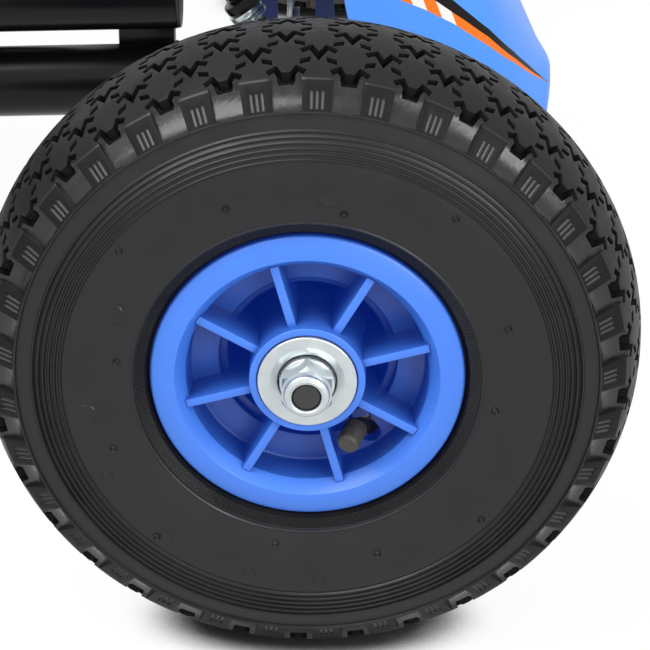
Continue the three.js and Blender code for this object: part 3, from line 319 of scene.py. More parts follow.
materials = {
    "tyre_rubber": moulded_rubber(),
    # The tread's faces, scuffed by the ground: grey and dull, with a coarser skin
    "tread_rubber": plain_finish("scuffed_tread_rubber", "171717", "232221", 0.46, 0.9, 0.1, 9, 0.08, 0.14),
    # The hollows between the lugs, which nothing rubs: as glossy as the mould left them
    "glossy_rubber": plain_finish("mould_glossy_rubber", "111112", "1a1a1b", 0.27, 1.6, 0.12, 6, 0.08),
    # The grooves, near black as painted shade, the lugs' dark faces, and the slots in them, pale grey as a painted
    # highlight
    "groove_shade_rubber": plain_finish("painted_shade_groove_rubber", "060607", "0b0b0c", 0.7, 0.7, 0.06, shine=0.12),
    "lug_rubber": plain_finish("dark_lug_rubber", "101011", "19191a", 0.5, 0.8, 0.08, shine=0.12),
    "slot_highlight_rubber": plain_finish("painted_highlight_slot_rubber", "4a4a4a", "6a6a6a", 0.45, 0.8, 0.08),
    # The inner shoulder, light grey-brown with dust and with a painted sheen of grazing light
    "dust_and_sheen_rubber": plain_finish("dust_and_sheen_shoulder_rubber", "3c3a36", "605c55", 0.75, 0.9, 0.12),
    "tube_rubber": plain_finish("butyl_tube_rubber", "1b1b1c", "242425", 0.5, 1.5, 0.03),
    "blue_plastic": blue_polypropylene(),
    "fairing_plastic": fairing_plastic(),
    # The fairing's inside: the blue darkened to navy as painted shade, with no gloss coat
    "fairing_inside_shade": plain_finish("navy_painted_shade_inside", "142a66", "1a3478", 0.5, 1.5, 0.04),
    # Black powder coat on steel tube: deep and glossy with a faint orange peel
    "black_paint": plain_finish("black_powder_coat", "070708", "0c0c0d", 0.25, 2.2, 0.03, 40, 0.04, 0.22),
    # Moulded plastics and foam, each with the grain of its own mould
    "black_plastic": plain_finish("grained_black_polypropylene", "18181a", "202022", 0.48, 0.9, 0.06),
    "seat_plastic": plain_finish("blow_moulded_black_polyethylene", "151517", "1d1d1f", 0.42, 1.3, 0.08),
    "grip_foam": plain_finish("closed_cell_grip_foam", "1c1c1d", "262628", 0.85, 1.1, 0.25),
    "white_plastic": plain_finish("turned_white_nylon", "d2d1c8", "dedcd3", 0.45, 1.5, 0.02),
    # Plain turned steel, oiled: mid grey with a soft gloss
    "grey_steel": plain_finish("oiled_turned_steel", "77797b", "96999b", 0.36, 0.8, 0.02, 7, 0.08, metallic=1.0),
    # Bright zinc plating: a pale blue-grey metal with faint cloudy patches
    "zinc_plate": plain_finish("zinc_plated_steel", "b9c2c6", "d4d9da", 0.34, 0.5, 0.012, 5, 0.08, metallic=0.9),
    # Machined brass, dulled by handling
    "brass": plain_finish("dull_brass", "7a5a30", "a8834c", 0.4, 0.8, 0.03, 3, 0.08, metallic=1.0),
    # The valve cap's black plastic, rubbed to a brownish grey, and the blackened end of the axle
    "cap": plain_finish("rubbed_black_cap", "2c2a26", "4a4740", 0.5, 0.5, 0.04, 2.5, 0.08),
    "axle_end": plain_finish("blackened_axle_steel", "232323", "323232", 0.42, 0.6, 0.04, 4, 0.08),
}


# Shaping helpers


def turned(outline, steps):
    """An outline of (radius, y) turned about the Y axis. It is closed, unless it starts and ends on the axis."""
    shape = bmesh.new()
    points = [shape.verts.new((0, y, radius)) for radius, y in outline]
    pairs = list(zip(points, points[1:]))
    if outline[0][0] or outline[-1][0]:
        pairs.append((points[-1], points[0]))
    edges = [shape.edges.new(pair) for pair in pairs]
    bmesh.ops.spin(shape, geom=points + edges, cent=(0, 0, 0), axis=(0, 1, 0), angle=FULL_TURN, steps=steps,
                   use_merge=True)
    bmesh.ops.remove_doubles(shape, verts=shape.verts, dist=0.001)
    bmesh.ops.recalc_face_normals(shape, faces=shape.faces)
    return shape


def rounded(corners, steps=4):
    """A closed outline of (a, b, fillet) corners, with each fillet drawn as an arc."""
    outline = []
    count = len(corners)
    for i, (a, b, fillet) in enumerate(corners):
        here = Vector((a, b))
        if not fillet:
            outline.append((a, b))
            continue
        before = (Vector(corners[i - 1][:2]) - here).normalized()
        after = (Vector(corners[(i + 1) % count][:2]) - here).normalized()
        half = before.angle(after) / 2
        middle = here + (before + after).normalized() * (fillet / math.sin(half))
        first = here + before * (fillet / math.tan(half)) - middle
        last = here + after * (fillet / math.tan(half)) - middle
        swing = first.angle_signed(last)
        for k in range(steps + 1):
            outline.append(tuple(middle + Matrix.Rotation(-swing * k / steps, 2) @ first))
    return outline


def rounded_box(low, high, fillet, steps=5):
    """The outline of a rectangle between two corners, rounded."""
    (a, b), (c, d) = low, high
    return rounded([(a, b, fillet), (c, b, fillet), (c, d, fillet), (a, d, fillet)], steps)


def in_plane(plane, a, b, out):
    """A point of a flat outline, out of its plane by a distance."""
    return {"XZ": (a, out, b), "XY": (a, b, out), "YZ": (out, a, b)}[plane]


def prism(outline, low, high, plane="XZ"):
    """A closed outline in two axes, given thickness from low to high along the third."""
    shape = bmesh.new()
    face = shape.faces.new([shape.verts.new(in_plane(plane, a, b, low)) for a, b in outline])
    pushed = bmesh.ops.extrude_face_region(shape, geom=[face])["geom"]
    bmesh.ops.translate(shape, vec=in_plane(plane, 0, 0, high - low),
                        verts=[v for v in pushed if isinstance(v, bmesh.types.BMVert)])
    bmesh.ops.recalc_face_normals(shape, faces=shape.faces)
    return shape


def placed(shape, matrix):
    """The shape, with a matrix applied to it."""
    bmesh.ops.transform(shape, matrix=matrix, verts=shape.verts)
    return shape


def moved(shape, *shift):
    return placed(shape, Matrix.Translation(shift))


def turned_about_axle(shape, angle):
    """Turns a shape at the wheel's top by degrees clockwise, seen from outside."""
    return placed(shape, Matrix.Rotation(-math.radians(angle), 4, "Y"))


def gather(shapes):
    """Several shapes as one."""
    whole = bmesh.new()
    for shape in shapes:
        mesh = bpy.data.meshes.new("part")
        shape.to_mesh(mesh)
        shape.free()
        whole.from_mesh(mesh)
        bpy.data.meshes.remove(mesh)
    return whole


def combined(base, tool, operation):
    """The base shape cut by the tool, or joined with it."""
    stand_ins = []
    for shape in (base, tool):
        mesh = bpy.data.meshes.new("part")
        shape.to_mesh(mesh)
        shape.free()
        stand_in = bpy.data.objects.new("part", mesh)
        bpy.context.scene.collection.objects.link(stand_in)
        stand_ins.append(stand_in)
    boolean = stand_ins[0].modifiers.new("boolean", "BOOLEAN")
    boolean.solver = "MANIFOLD"
    boolean.operation = operation
    boolean.object = stand_ins[1]
    result = bmesh.new()
    result.from_object(stand_ins[0], bpy.context.evaluated_depsgraph_get())
    for stand_in in stand_ins:
        mesh = stand_in.data
        bpy.data.objects.remove(stand_in)
        bpy.data.meshes.remove(mesh)
    return result


def ease(shape, offset, segments=2, least=30, chosen=None):
    """Bevels the outer edges that turn by more than the least angle."""
    limit = math.radians(least)
    edges = [
        e for e in shape.edges
        if len(e.link_faces) == 2 and e.calc_face_angle_signed(0) > limit and (chosen is None or chosen(e))
    ]
    bmesh.ops.bevel(shape, geom=edges, offset=offset, offset_type="OFFSET", segments=segments, profile=0.5,
                    affect="EDGES", clamp_overlap=True, material=-1)
    return shape


def settle(shape, name, finishes, body, stands_for=(), slot=None, at=None, smooth=35):
    """Turns a shape in millimetres into a finished piece that rides on its body."""
    placed(shape, Matrix.Scale(MM, 4) @ (at or Matrix()))
    mesh = bpy.data.meshes.new(name)
    shape.to_mesh(mesh)
    shape.free()
    for finish in finishes:
        mesh.materials.append(materials[finish])
    mesh.shade_smooth()
    mesh.set_sharp_from_angle(angle=math.radians(smooth))
    piece = bpy.data.objects.new(name, mesh)
    bpy.context.scene.collection.objects.link(piece)
    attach(piece, body)
    if stands_for:
        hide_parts(*stands_for)
    return piece


def on_wheel(radius, angle, y):
    """A point on the wheel by radius and degrees clockwise from the top, seen from outside, which is +Y."""
    turn = math.radians(angle)
    return Vector((-radius * math.sin(turn), y, radius * math.cos(turn)))


def tube(points, radius, sides=16, bevels=6, swells=None):
    """A smooth tube through points, with closed ends."""
    line = bpy.data.curves.new("line", "CURVE")
    line.dimensions = "3D"
    line.bevel_depth = radius
    line.bevel_resolution = sides // 4
    line.use_fill_caps = True
    spline = line.splines.new("NURBS")
    spline.points.add(len(points) - 1)
    for point, place in zip(spline.points, points):
        point.co = (*place, 1)
    for point, swell in zip(spline.points, swells or ()):
        point.radius = swell
    spline.use_endpoint_u = True
    spline.order_u = 3
    spline.resolution_u = bevels
    stand_in = bpy.data.objects.new("line", line)
    bpy.context.scene.collection.objects.link(stand_in)
    mesh = bpy.data.meshes.new_from_object(stand_in.evaluated_get(bpy.context.evaluated_depsgraph_get()))
    shape = bmesh.new()
    shape.from_mesh(mesh)
    bpy.data.objects.remove(stand_in)
    bpy.data.curves.remove(line)
    bpy.data.meshes.remove(mesh)
    bmesh.ops.remove_doubles(shape, verts=shape.verts, dist=0.001)
    bmesh.ops.recalc_face_normals(shape, faces=shape.faces)
    return shape


def aimed(shape, start, end):
    """Moves a shape made along +Y from the origin so that it runs from start towards end."""
    turn = (Vector(end) - Vector(start)).to_track_quat("Y", "Z").to_matrix().to_4x4()
    return placed(shape, Matrix.Translation(start) @ turn)


def pipe(start, end, radius, bore, fillet=0.5):
    """A round tube with open ends and eased rims."""
    length = (Vector(end) - Vector(start)).length
    outline = rounded([(bore, 0, 0), (radius, 0, fillet), (radius, length, fillet), (bore, length, 0)], 2)
    return aimed(turned(outline, ROUND_STEPS), start, end)


def rod(start, end, radius, fillet=0.6):
    """A round bar with eased ends."""
    length = (Vector(end) - Vector(start)).length
    outline = rounded([(0, 0, 0), (radius, 0, fillet), (radius, length, fillet), (0, length, 0)], 2)
    return aimed(turned(outline, ROUND_STEPS), start, end)


def block(low, high, fillet=1, segments=3):
    """A box with rounded edges."""
    shape = bmesh.new()
    bmesh.ops.create_cube(shape, size=1)
    bmesh.ops.scale(shape, vec=[b - a for a, b in zip(low, high)], verts=shape.verts)
    return ease(moved(shape, *[(a + b) / 2 for a, b in zip(low, high)]), fillet, segments)


def plate(outline, low, high, fillet=1, plane="XZ"):
    """A flat plate with rounded edges."""
    shape = prism(outline, low, high, plane)
    return ease(shape, fillet) if fillet else shape


def hexagonal_bar(across, low, high):
    """A bare hexagonal bar along the Y axis, from low to high."""
    corner = across / 2 / math.cos(math.pi / 6)
    bar = bmesh.new()
    bmesh.ops.create_cone(bar, cap_ends=True, segments=6, radius1=corner, radius2=corner, depth=high - low,
                          matrix=Matrix.Translation((0, (low + high) / 2, 0)) @ LIE_DOWN)
    return bar


def hexagon(start, end, across, chamfer=0.8):
    """A bolt head or nut whose corners are turned off at both ends."""
    height = (Vector(end) - Vector(start)).length
    flat, corner = across / 2 - 0.2, across / 2 / math.cos(math.pi / 6) + 0.1
    cone = turned([(0, 0), (flat, 0), (corner, chamfer), (corner, height - chamfer), (flat, height), (0, height)],
                  36)
    return aimed(combined(hexagonal_bar(across, 0, height), cone, "INTERSECT"), start, end)


def circle(middle, axis, radius, count=48):
    """Points round a circle, with the first one repeated at the end."""
    turn = Vector(axis).to_track_quat("Z", "Y")
    steps = [FULL_TURN * k / count for k in range(count + 1)]
    return [Vector(middle) + turn @ Vector((radius * math.cos(t), radius * math.sin(t), 0)) for t in steps]


def saddle(middle, along, up, radius, branch):
    """The line where a branch tube that stands on a bigger tube meets it."""
    along, up = Vector(along).normalized(), Vector(up).normalized()
    aside = up.cross(along)
    points = []
    for k in range(49):
        turn = FULL_TURN * k / 48
        over, out = branch * math.cos(turn), branch * math.sin(turn)
        rise = math.sqrt(max(radius * radius - out * out, 0))
        points.append(Vector(middle) + along * over + aside * out + up * rise)
    return points


def weld(points, radius=2):
    """A weld bead along a line: rippled, as the puddles froze one over the other."""
    ripple = radius * 0.9
    line = []
    for a, b in zip(points, points[1:]):
        a, b = Vector(a), Vector(b)
        count = max(1, round((b - a).length / ripple))
        line += [a.lerp(b, k / count) for k in range(count)]
    line.append(Vector(points[-1]))
    swells = [1.1 if k % 2 else 0.88 for k in range(len(line))]
    return tube(line, radius, 8, 2, swells)


def on_column(up, fore=0, side=0):
    """A place on the steering column: up along the shaft, forward across it and sideways."""
    return COLUMN @ Vector((side, up, fore))


# Tyre


def crown(y):
    """The tread's radius at a distance from the tyre's middle plane."""
    return TYRE_RADIUS - y * y / CROWN_CURVE


def wall(radius):
    """How far out the wall stands at a radius."""
    curve = WALL_CURVE_OUT if radius > WALL_RADIUS else WALL_CURVE_IN
    return WALL_HALF - (radius - WALL_RADIUS) ** 2 / curve


def tyre_outline():
    """Half of the tyre's section as (y, radius): over the tread, down the wall to the bead, and back inside."""
    tread = [(y, crown(y)) for y in range(0, 31, 3)]
    lug_side = [(31.2, crown(31.2)), (31.9, 122.2), (38.6, 112.6)]
    ring_edge = [(39.2, 112.6), (39.8, 112.3), (39.8, 111.8), (39, 111.3)]
    band = [(wall(r) - 0.2, r) for r in (110, 108.5, 107)]
    ridges = []
    for ridge in (105.3, 103.15, 101, 98.85, 96.7, 94.5):
        ridges += [
            (wall(ridge) - 0.35, ridge + 0.7),
            (wall(ridge) + 0.35, ridge + 0.22),
            (wall(ridge) + 0.35, ridge - 0.22),
            (wall(ridge) - 0.35, ridge - 0.7),
        ]
    face = [(wall(r), r) for r in (92, 88, 84, 80, 76, 72, 69)]
    bead_line = [(wall(67.8), 67.8), (wall(67.6) + 0.3, 67.4), (wall(67.2), 66.8)]
    knurl = [(38.1, 66.4), (37.4, 64.8), (36.4, 62.4)]
    bead = [(34.6, 61.7), (32.6, 60.9), (32.2, 56), (32.2, 51.2), (20, 51.2)]
    lining = [(19, 55), (30, 60), (36.2, 72), (38.4, 90), (35.6, 106), (29, 115), (18, 121), (8, 123.4), (0, 124)]
    return tread + lug_side + ring_edge + band + ridges + face + bead_line + knurl + bead + lining


def ribbon(points, width):
    """An outline of even width round a bent line."""
    line = [Vector(p) for p in points]
    left, right = [], []
    for i, point in enumerate(line):
        into = (point - line[i - 1]).normalized() if i else None
        out = (line[i + 1] - point).normalized() if i + 1 < len(line) else None
        normals = [Vector((-d.y, d.x)) for d in (into, out) if d is not None]
        normal = sum(normals, Vector((0, 0))).normalized()
        reach = width / 2 / normal.dot(normals[0])
        left.append(point + normal * reach)
        right.append(point - normal * reach)
    return left + right[::-1]


def tread_cut(outline):
    """A cutter that goes down from above the tread and follows the crown at its foot."""
    cutter = bmesh.new()
    foot = cutter.faces.new([cutter.verts.new((u, y, crown(y) - GROOVE_DEPTH)) for u, y in outline])
    bmesh.ops.triangulate(cutter, faces=[foot])
    raised = bmesh.ops.extrude_face_region(cutter, geom=cutter.faces[:])["geom"]
    for v in raised:
        if isinstance(v, bmesh.types.BMVert):
            v.co.z = TYRE_RADIUS + 2
    bmesh.ops.recalc_face_normals(cutter, faces=cutter.faces)
    return cutter


def groove_outlines():
    """The zigzag grooves and the slanted holes round one diamond, from its centre outwards."""
    zigzag = ribbon([(-6.8, 7.6), (-3, 5.4), (0, 10.4), (3, 5.4), (6.8, 7.6)], GROOVE_WIDTH)
    cut_tip = ribbon([(-7.4, 8.4), (-4.2, 6.6), (-2.4, 9.6), (2.4, 9.6), (4.2, 6.6), (7.4, 8.4)], GROOVE_WIDTH)
    hole = [(-9.5, 0.6), (-5.5, 1.9), (-5.1, 4.6), (-9.1, 3.3)]
    holes = [hole, [(-u, y) for u, y in reversed(hole)]]
    return zigzag, cut_tip, holes


def tread_cutters(first, last):
    """The cutters of all the tiles from first to last, on both sides of the middle line."""
    zigzag, cut_tip, holes = groove_outlines()
    rows = [(0.5, 0, zigzag), (0, 1, zigzag), (0.5, 2, cut_tip)]
    cutters = []
    for tile in range(first, last + 1):
        for shift, row, groove in rows:
            for side in (-1, 1):
                for outline in (groove, *holes):
                    middle = (tile + shift) * TREAD_PITCH
                    cutters.append(tread_cut([(middle + u, side * (row * DIAMOND_ROW + y)) for u, y in outline]))
    return cutters


def shoulder_cutters(section, first, last, width, shifts):
    """Cutters of one section in each tile from first to last, on both shoulders, at shifts from its middle."""
    cutters = []
    for tile in range(first, last + 1):
        for side in (-1, 1):
            for shift in shifts:
                start = tile * TREAD_PITCH + shift - width / 2
                cutters.append(prism([(side * y, r) for y, r in section], start, start + width, "YZ"))
    return cutters


def lug_cutters():
    """The hollows between the shoulder lugs."""
    section = [(30.4, 121.4), (31.4, 119.6), (33, 117), (35, 114.9), (37.1, 113.2), (39, 112.4), (46, 112.4),
               (46, 134), (30.4, 134)]
    return shoulder_cutters(section, -2, 1, TREAD_PITCH - 2 * LUG_HALF, [TREAD_PITCH / 2])


def slot_cutters():
    """Three narrow slots in the outer face of each lug."""
    section = [(33.9 - SLOT_DEPTH, 119), (36, 119), (40, 113.2), (38.1 - SLOT_DEPTH, 113.2)]
    return shoulder_cutters(section, -1, 1, SLOT_WIDTH, [-SLOT_PITCH, 0, SLOT_PITCH])


def tyre_tile():
    """One pitch of the tyre, flat: X along the tread, Y across it and Z out from the axle."""
    half = tyre_outline()
    outline = half + [(-y, r) for y, r in reversed(half) if y]
    strip = prism(outline, -1.5 * TREAD_PITCH, 1.5 * TREAD_PITCH, "YZ")
    strip = combined(strip, gather(lug_cutters()), "DIFFERENCE")
    strip = combined(strip, gather(tread_cutters(-2, 1) + slot_cutters()), "DIFFERENCE")
    bmesh.ops.dissolve_degenerate(strip, dist=0.01, edges=strip.edges)

    def outside(edge):
        return all(v.co.z > RING_RADIUS and abs(v.co.y) < 38.9 for v in edge.verts)

    ease(strip, 0.35, chosen=outside)
    for k in (0, COLUMNS_PER_LUG, *range(1, COLUMNS_PER_LUG)):
        at_edge = k % COLUMNS_PER_LUG == 0
        bmesh.ops.bisect_plane(strip, geom=strip.verts[:] + strip.edges[:] + strip.faces[:], dist=0.001,
                               plane_co=((k / COLUMNS_PER_LUG - 0.5) * TREAD_PITCH, 0, 0),
                               plane_no=(1 if k else -1, 0, 0), clear_outer=at_edge)
    # The cuts leave corners and faces in no fixed order, so they are put in one by where they lie
    by_place = Vector((1, math.pi, math.e))
    strip.verts.sort(key=lambda v: v.co.dot(by_place))
    strip.faces.sort(key=lambda f: f.calc_center_median().dot(by_place))
    return strip


def finish_faces(tile):
    """Tells apart the tread's worn tops, its grooves with painted shade, the lugs, their slots with a painted
    highlight and hollows, and the shoulder with dust and painted sheen.
    """
    for face in tile.faces:
        middle = face.calc_center_median()
        aside, up = abs(middle.y), middle.z
        on_lug = abs(middle.x) < LUG_HALF - 0.1
        if face.normal.z > 0.8 and aside < 32.5 and up > crown(aside) - 0.25:
            face.material_index = TREAD
        elif not on_lug and 30.2 < aside < 39.2 and up > RING_RADIUS:
            face.material_index = HOLLOW if abs(face.normal.x) < 0.3 else 0
        elif aside < 31.3 and 117 < up < crown(aside) - 0.6:
            # Groove walls and floors take the near black of painted shade.
            face.material_index = GROOVE_SHADE
        elif on_lug and 31.9 < aside < 38.6:
            height = (aside - 31.9) * 0.82 + (up - 122.2) * 0.573
            # The slots take the pale grey of a painted highlight.
            face.material_index = LUG if height > -0.2 else SLOT_HIGHLIGHT if height > -2 else 0
        # The inner shoulder's upward faces take the light grey of dust and painted sheen.
        if middle.y < -24 and face.normal.z > 0.5:
            face.material_index = DUST_AND_SHEEN


def wall_marks():
    """Vent nubs, plugs and faint rings left by the mould on the outer wall."""
    marks = []
    nub_angles = (11, 38, 72, 99, 131, 160, 190, 221, 249, 277, 309, 338)
    places = [(angle, (73, 90, 80)[i % 3], 1.3, 0.9) for i, angle in enumerate(nub_angles)]
    places += [(177, 88, 2.3, 0.35), (195, 88, 2.1, 0.35), (219, 88, 2.4, 0.35), (242, 88, 2.2, 0.35)]
    places += [(6, 80, 4, 0.12), (261, 86, 4, 0.12), (292, 79, 4, 0.12)]
    for angle, radius, size, height in places:
        mark = turned([(size * 1.12, -0.4), (size, height * 0.7), (size * 0.86, height), (size * 0.6, height * 0.4),
                       (0, height * 0.25), (0, -0.4)], 16)
        slope = (wall(radius + 1) - wall(radius - 1)) / 2
        lean = Matrix.Rotation(math.atan(slope), 4, "X")
        lift = Matrix.Translation((0, wall(radius), radius))
        marks.append(turned_about_axle(placed(mark, lift @ lean), angle))
    return marks


def smooth_step(share):
    share = min(1, max(0, share))
    return share * share * (3 - 2 * share)


def make_tyre():
    """The whole tyre: the tile is drawn in on its inner shoulder, bent round the axle and repeated for each lug."""
    tyre = tyre_tile()
    finish_faces(tyre)
    for v in tyre.verts:
        if v.co.y < 0:
            v.co.y *= 1 - INNER_DRAW * smooth_step((v.co.z - 95) / 20)
        turn = v.co.x / TYRE_RADIUS + math.radians(FIRST_LUG_ANGLE)
        v.co = (-v.co.z * math.sin(turn), v.co.y, v.co.z * math.cos(turn))
    bmesh.ops.spin(tyre, geom=tyre.verts[:] + tyre.edges[:] + tyre.faces[:], cent=(0, 0, 0), axis=(0, 1, 0),
                   angle=FULL_TURN * (LUGS - 1) / LUGS, steps=LUGS - 1, use_duplicate=True)
    bmesh.ops.remove_doubles(tyre, verts=tyre.verts, dist=0.004)
    bmesh.ops.recalc_face_normals(tyre, faces=tyre.faces)
    tyre = gather([tyre, *wall_marks()])
    layer = tyre.loops.layers.uv.new("UVMap")
    for face in tyre.faces:
        middle = face.calc_center_median()
        turn = math.atan2(middle.x, middle.z)
        for loop in face.loops:
            co = loop.vert.co
            here = math.atan2(co.x, co.z)
            here += FULL_TURN * round((turn - here) / FULL_TURN)
            loop[layer].uv = (here / FULL_TURN, math.hypot(co.x, co.z) / 100)
    return tyre


# Rim


def rim_body():
    """The turned body of the rim, from the flange over the barrel to the hub, alike on both sides."""
    half = [
        (60.4, 32.5, 0.6), (60.4, 36, 1.6), (55.5, 37.6, 0), (51, 38, 0.4), (46.9, 32.3, 0.5), (45.8, SHELF_Y, 1.2),
    ]
    outer = half + [
        (SHELF_INNER, SHELF_Y, 0.8), (SHELF_INNER - 0.8, WEB_Y, 2), (25.5, WEB_Y, 2.5), (22.6, 16, 9),
        (HUB_RADIUS + 0.4, HUB_TOP, 0.5), (POCKET_RADIUS, HUB_TOP, 0.3), (POCKET_RADIUS, POCKET_Y, 0),
        (11, POCKET_Y, 0),
    ]
    inner = [
        (11, -POCKET_Y, 0), (POCKET_RADIUS, -POCKET_Y, 0), (POCKET_RADIUS, -HUB_TOP, 0.3),
        (HUB_RADIUS + 0.4, -HUB_TOP, 0.5),
        (25, WEB_Y - 3.5, 2.5), (31, WEB_Y - 3.5, 1.5), (31, SHELF_Y - 3.5, 1), (43.7, SHELF_Y - 3.5, 1.5),
    ] + [(r, -y, f) for r, y, f in reversed(half[:5])]
    seat = [(50.8, -32.5, 1), (50.8, 32.5, 1)]
    return turned(rounded(outer + inner + seat), RIM_STEPS)


def make_rim():
    ribs = []
    foot, length = WEB_Y - 1, RIB_TOP - WEB_Y + 1
    for k in range(RIB_COUNT):
        rib = bmesh.new()
        bmesh.ops.create_cube(rib, size=1)
        bmesh.ops.scale(rib, vec=(RIB_THICKNESS, length, RIB_REACH), verts=rib.verts)
        middle = foot + length / 2
        moved(rib, 0, middle, RIB_START + RIB_REACH / 2)
        for v in rib.verts:
            if v.co.y < middle:
                v.co.x *= RIB_DRAFT
        ease(rib, 0.45, chosen=lambda e: all(v.co.y > middle for v in e.verts))
        ribs.append(turned_about_axle(rib, FIRST_RIB_ANGLE + k * 360 / RIB_COUNT))
    rim = combined(rim_body(), gather(ribs), "UNION")
    notch = prism(rounded([(-4.1, 30, 0), (4.1, 30, 0), (4.1, 45.2, 4), (-4.1, 45.2, 4)], 8), 10, 30)
    return combined(rim, turned_about_axle(notch, VALVE_ANGLE), "DIFFERENCE")


def make_bearing_cover():
    """The pressed cover of a wheel bearing, with a dished middle that the nut sits in."""
    return turned(rounded([
        (6.4, 29.3, 0), (19.15, 29.3, 0), (19.15, 39.6, 0.7), (14.6, 39.7, 1.5), (11.5, 38.9, 0.8), (11, 36.6, 0.3),
        (6.4, 36.6, 0),
    ], 5), RIM_STEPS)


def make_nut():
    """A hexagon lock nut with chamfered corners and a round collar that grips the thread."""
    chamfer = turned([(0, 40.4), (10.2, 40.4), (11.2, 41.4), (11.2, 46.4), (9.6, 49.2), (0, 49.2)], 48)
    nut = combined(hexagonal_bar(19, 40.8, 49), chamfer, "INTERSECT")
    collar = turned(rounded([(5.8, 37.4, 0), (10.6, 37.4, 0.4), (10.6, 41, 0.4), (8.9, 41.6, 0), (8.9, 49.5, 0.5),
                             (8.7, 51.4, 1.2), (6.6, 52.4, 0.4), (6.1, 51.9, 0), (5.8, 51.9, 0)], 4), 64)
    return gather([nut, collar])


def make_axle_end():
    """The axle's threaded end, seen in the middle of the nut."""
    outline = [(0, 30), (5.4, 30)]
    for k in range(10):
        outline += [(5.75, 31 + k * 1.75), (5.3, 31.9 + k * 1.75)]
    outline += [(5.6, 50.2), (5, 51.4), (0, 51.4)]
    return turned(outline, 48)


def make_valve_stem():
    """The bent brass stem between the tube and the cap, which it ends just inside of."""
    end = on_wheel(*CAP_NECK).lerp(on_wheel(*CAP_TIP), 0.95)
    return tube([
        on_wheel(52, VALVE_ANGLE, 8), on_wheel(46, VALVE_ANGLE, 8), on_wheel(41.6, VALVE_ANGLE, 8.5),
        on_wheel(41.2, VALVE_ANGLE, 16), on_wheel(35, VALVE_ANGLE, 21), on_wheel(*CAP_NECK), end,
    ], 3.1)


def make_valve_cap():
    """The knurled dust cap."""
    cap = turned(rounded([(0, 0, 0), (3.4, 0, 0), (4.15, 0.7, 0.3), (4.5, 2, 0), (4.5, 10.6, 0.4), (4.1, 12, 0.5),
                          (0, 12.2, 0)], 3), 48)
    for v in cap.verts:
        if 1.9 < v.co.y < 10.9:
            turn = math.atan2(v.co.x, v.co.z)
            swell = 1 + 0.03 * math.cos(24 * turn)
            v.co.x *= swell
            v.co.z *= swell
    return aimed(cap, on_wheel(*CAP_TIP), on_wheel(*CAP_NECK))


def wheel_matrix(end, side):
    """Where a wheel stands, with its outer face turned away from the kart."""
    low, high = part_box(f"tyre_{end}_{side}")
    middle = (low + high) / 2 / MM
    turn = Matrix.Rotation(math.pi if side == "right" else 0, 4, "Z")
    return Matrix.Translation(middle) @ turn


WHEEL_BODIES = {
    ("front", "right"): "front_wheel_right",
    ("front", "left"): "front_wheel_left",
    ("rear", "right"): "rear_wheel_right",
    ("rear", "left"): "driven_axle",
}
# Finishes 3, 5 and 6 carry painted shade in the grooves, a painted highlight in the slots and a painted sheen with
# dust on the shoulder.
TYRE_FINISHES = ["tyre_rubber", "tread_rubber", "glossy_rubber", "groove_shade_rubber", "lug_rubber", "slot_highlight_rubber",
                 "dust_and_sheen_rubber"]
TREAD, HOLLOW, GROOVE_SHADE, LUG, SLOT_HIGHLIGHT, DUST_AND_SHEEN = 1, 2, 3, 4, 5, 6


def add_wheels():
    bearing = make_bearing_cover()
    inner_bearing = placed(bearing.copy(), Matrix.Diagonal((1, -1, 1, 1)))
    bmesh.ops.recalc_face_normals(inner_bearing, faces=inner_bearing.faces)
    shapes = [
        ("treaded_tyre", "tyre", make_tyre(), TYRE_FINISHES, 30),
        ("moulded_rim", "rim", make_rim(), ["blue_plastic"], 32),
        ("bearing_cover_outer", "bearing_outer", bearing, ["zinc_plate"], 30),
        ("bearing_cover_inner", "bearing_inner", inner_bearing, ["zinc_plate"], 30),
        ("lock_nut", "axle_nut", make_nut(), ["zinc_plate"], 30),
        ("valve_stem", "valve", make_valve_stem(), ["brass"], 40),
        ("valve_cap", None, make_valve_cap(), ["cap"], 40),
        ("axle_tip", None, make_axle_end(), ["axle_end"], 40),
    ]
    for (end, side), body in WHEEL_BODIES.items():
        place = wheel_matrix(end, side)
        axle = f"front_knuckle_{side}" if end == "front" else "driven_axle"
        for name, node, shape, finishes, smooth in shapes:
            rides = axle if name in ("lock_nut", "axle_tip") else body
            stands_for = (f"{node}_{end}_{side}",) if node else ()
            slot = finishes[0] if node else None
            settle(shape.copy(), f"{name}_{end}_{side}", finishes, rides, stands_for, slot, place, smooth)
    for _, _, shape, _, _ in shapes:
        shape.free()


# Frame


def spine_z(x):
    return SPINE_LOW + SPINE_RISE * (x - SPINE_REAR) / (SPINE_FRONT - SPINE_REAR)


def rail_z(x):
    return spine_z(x) + RAIL_LIFT


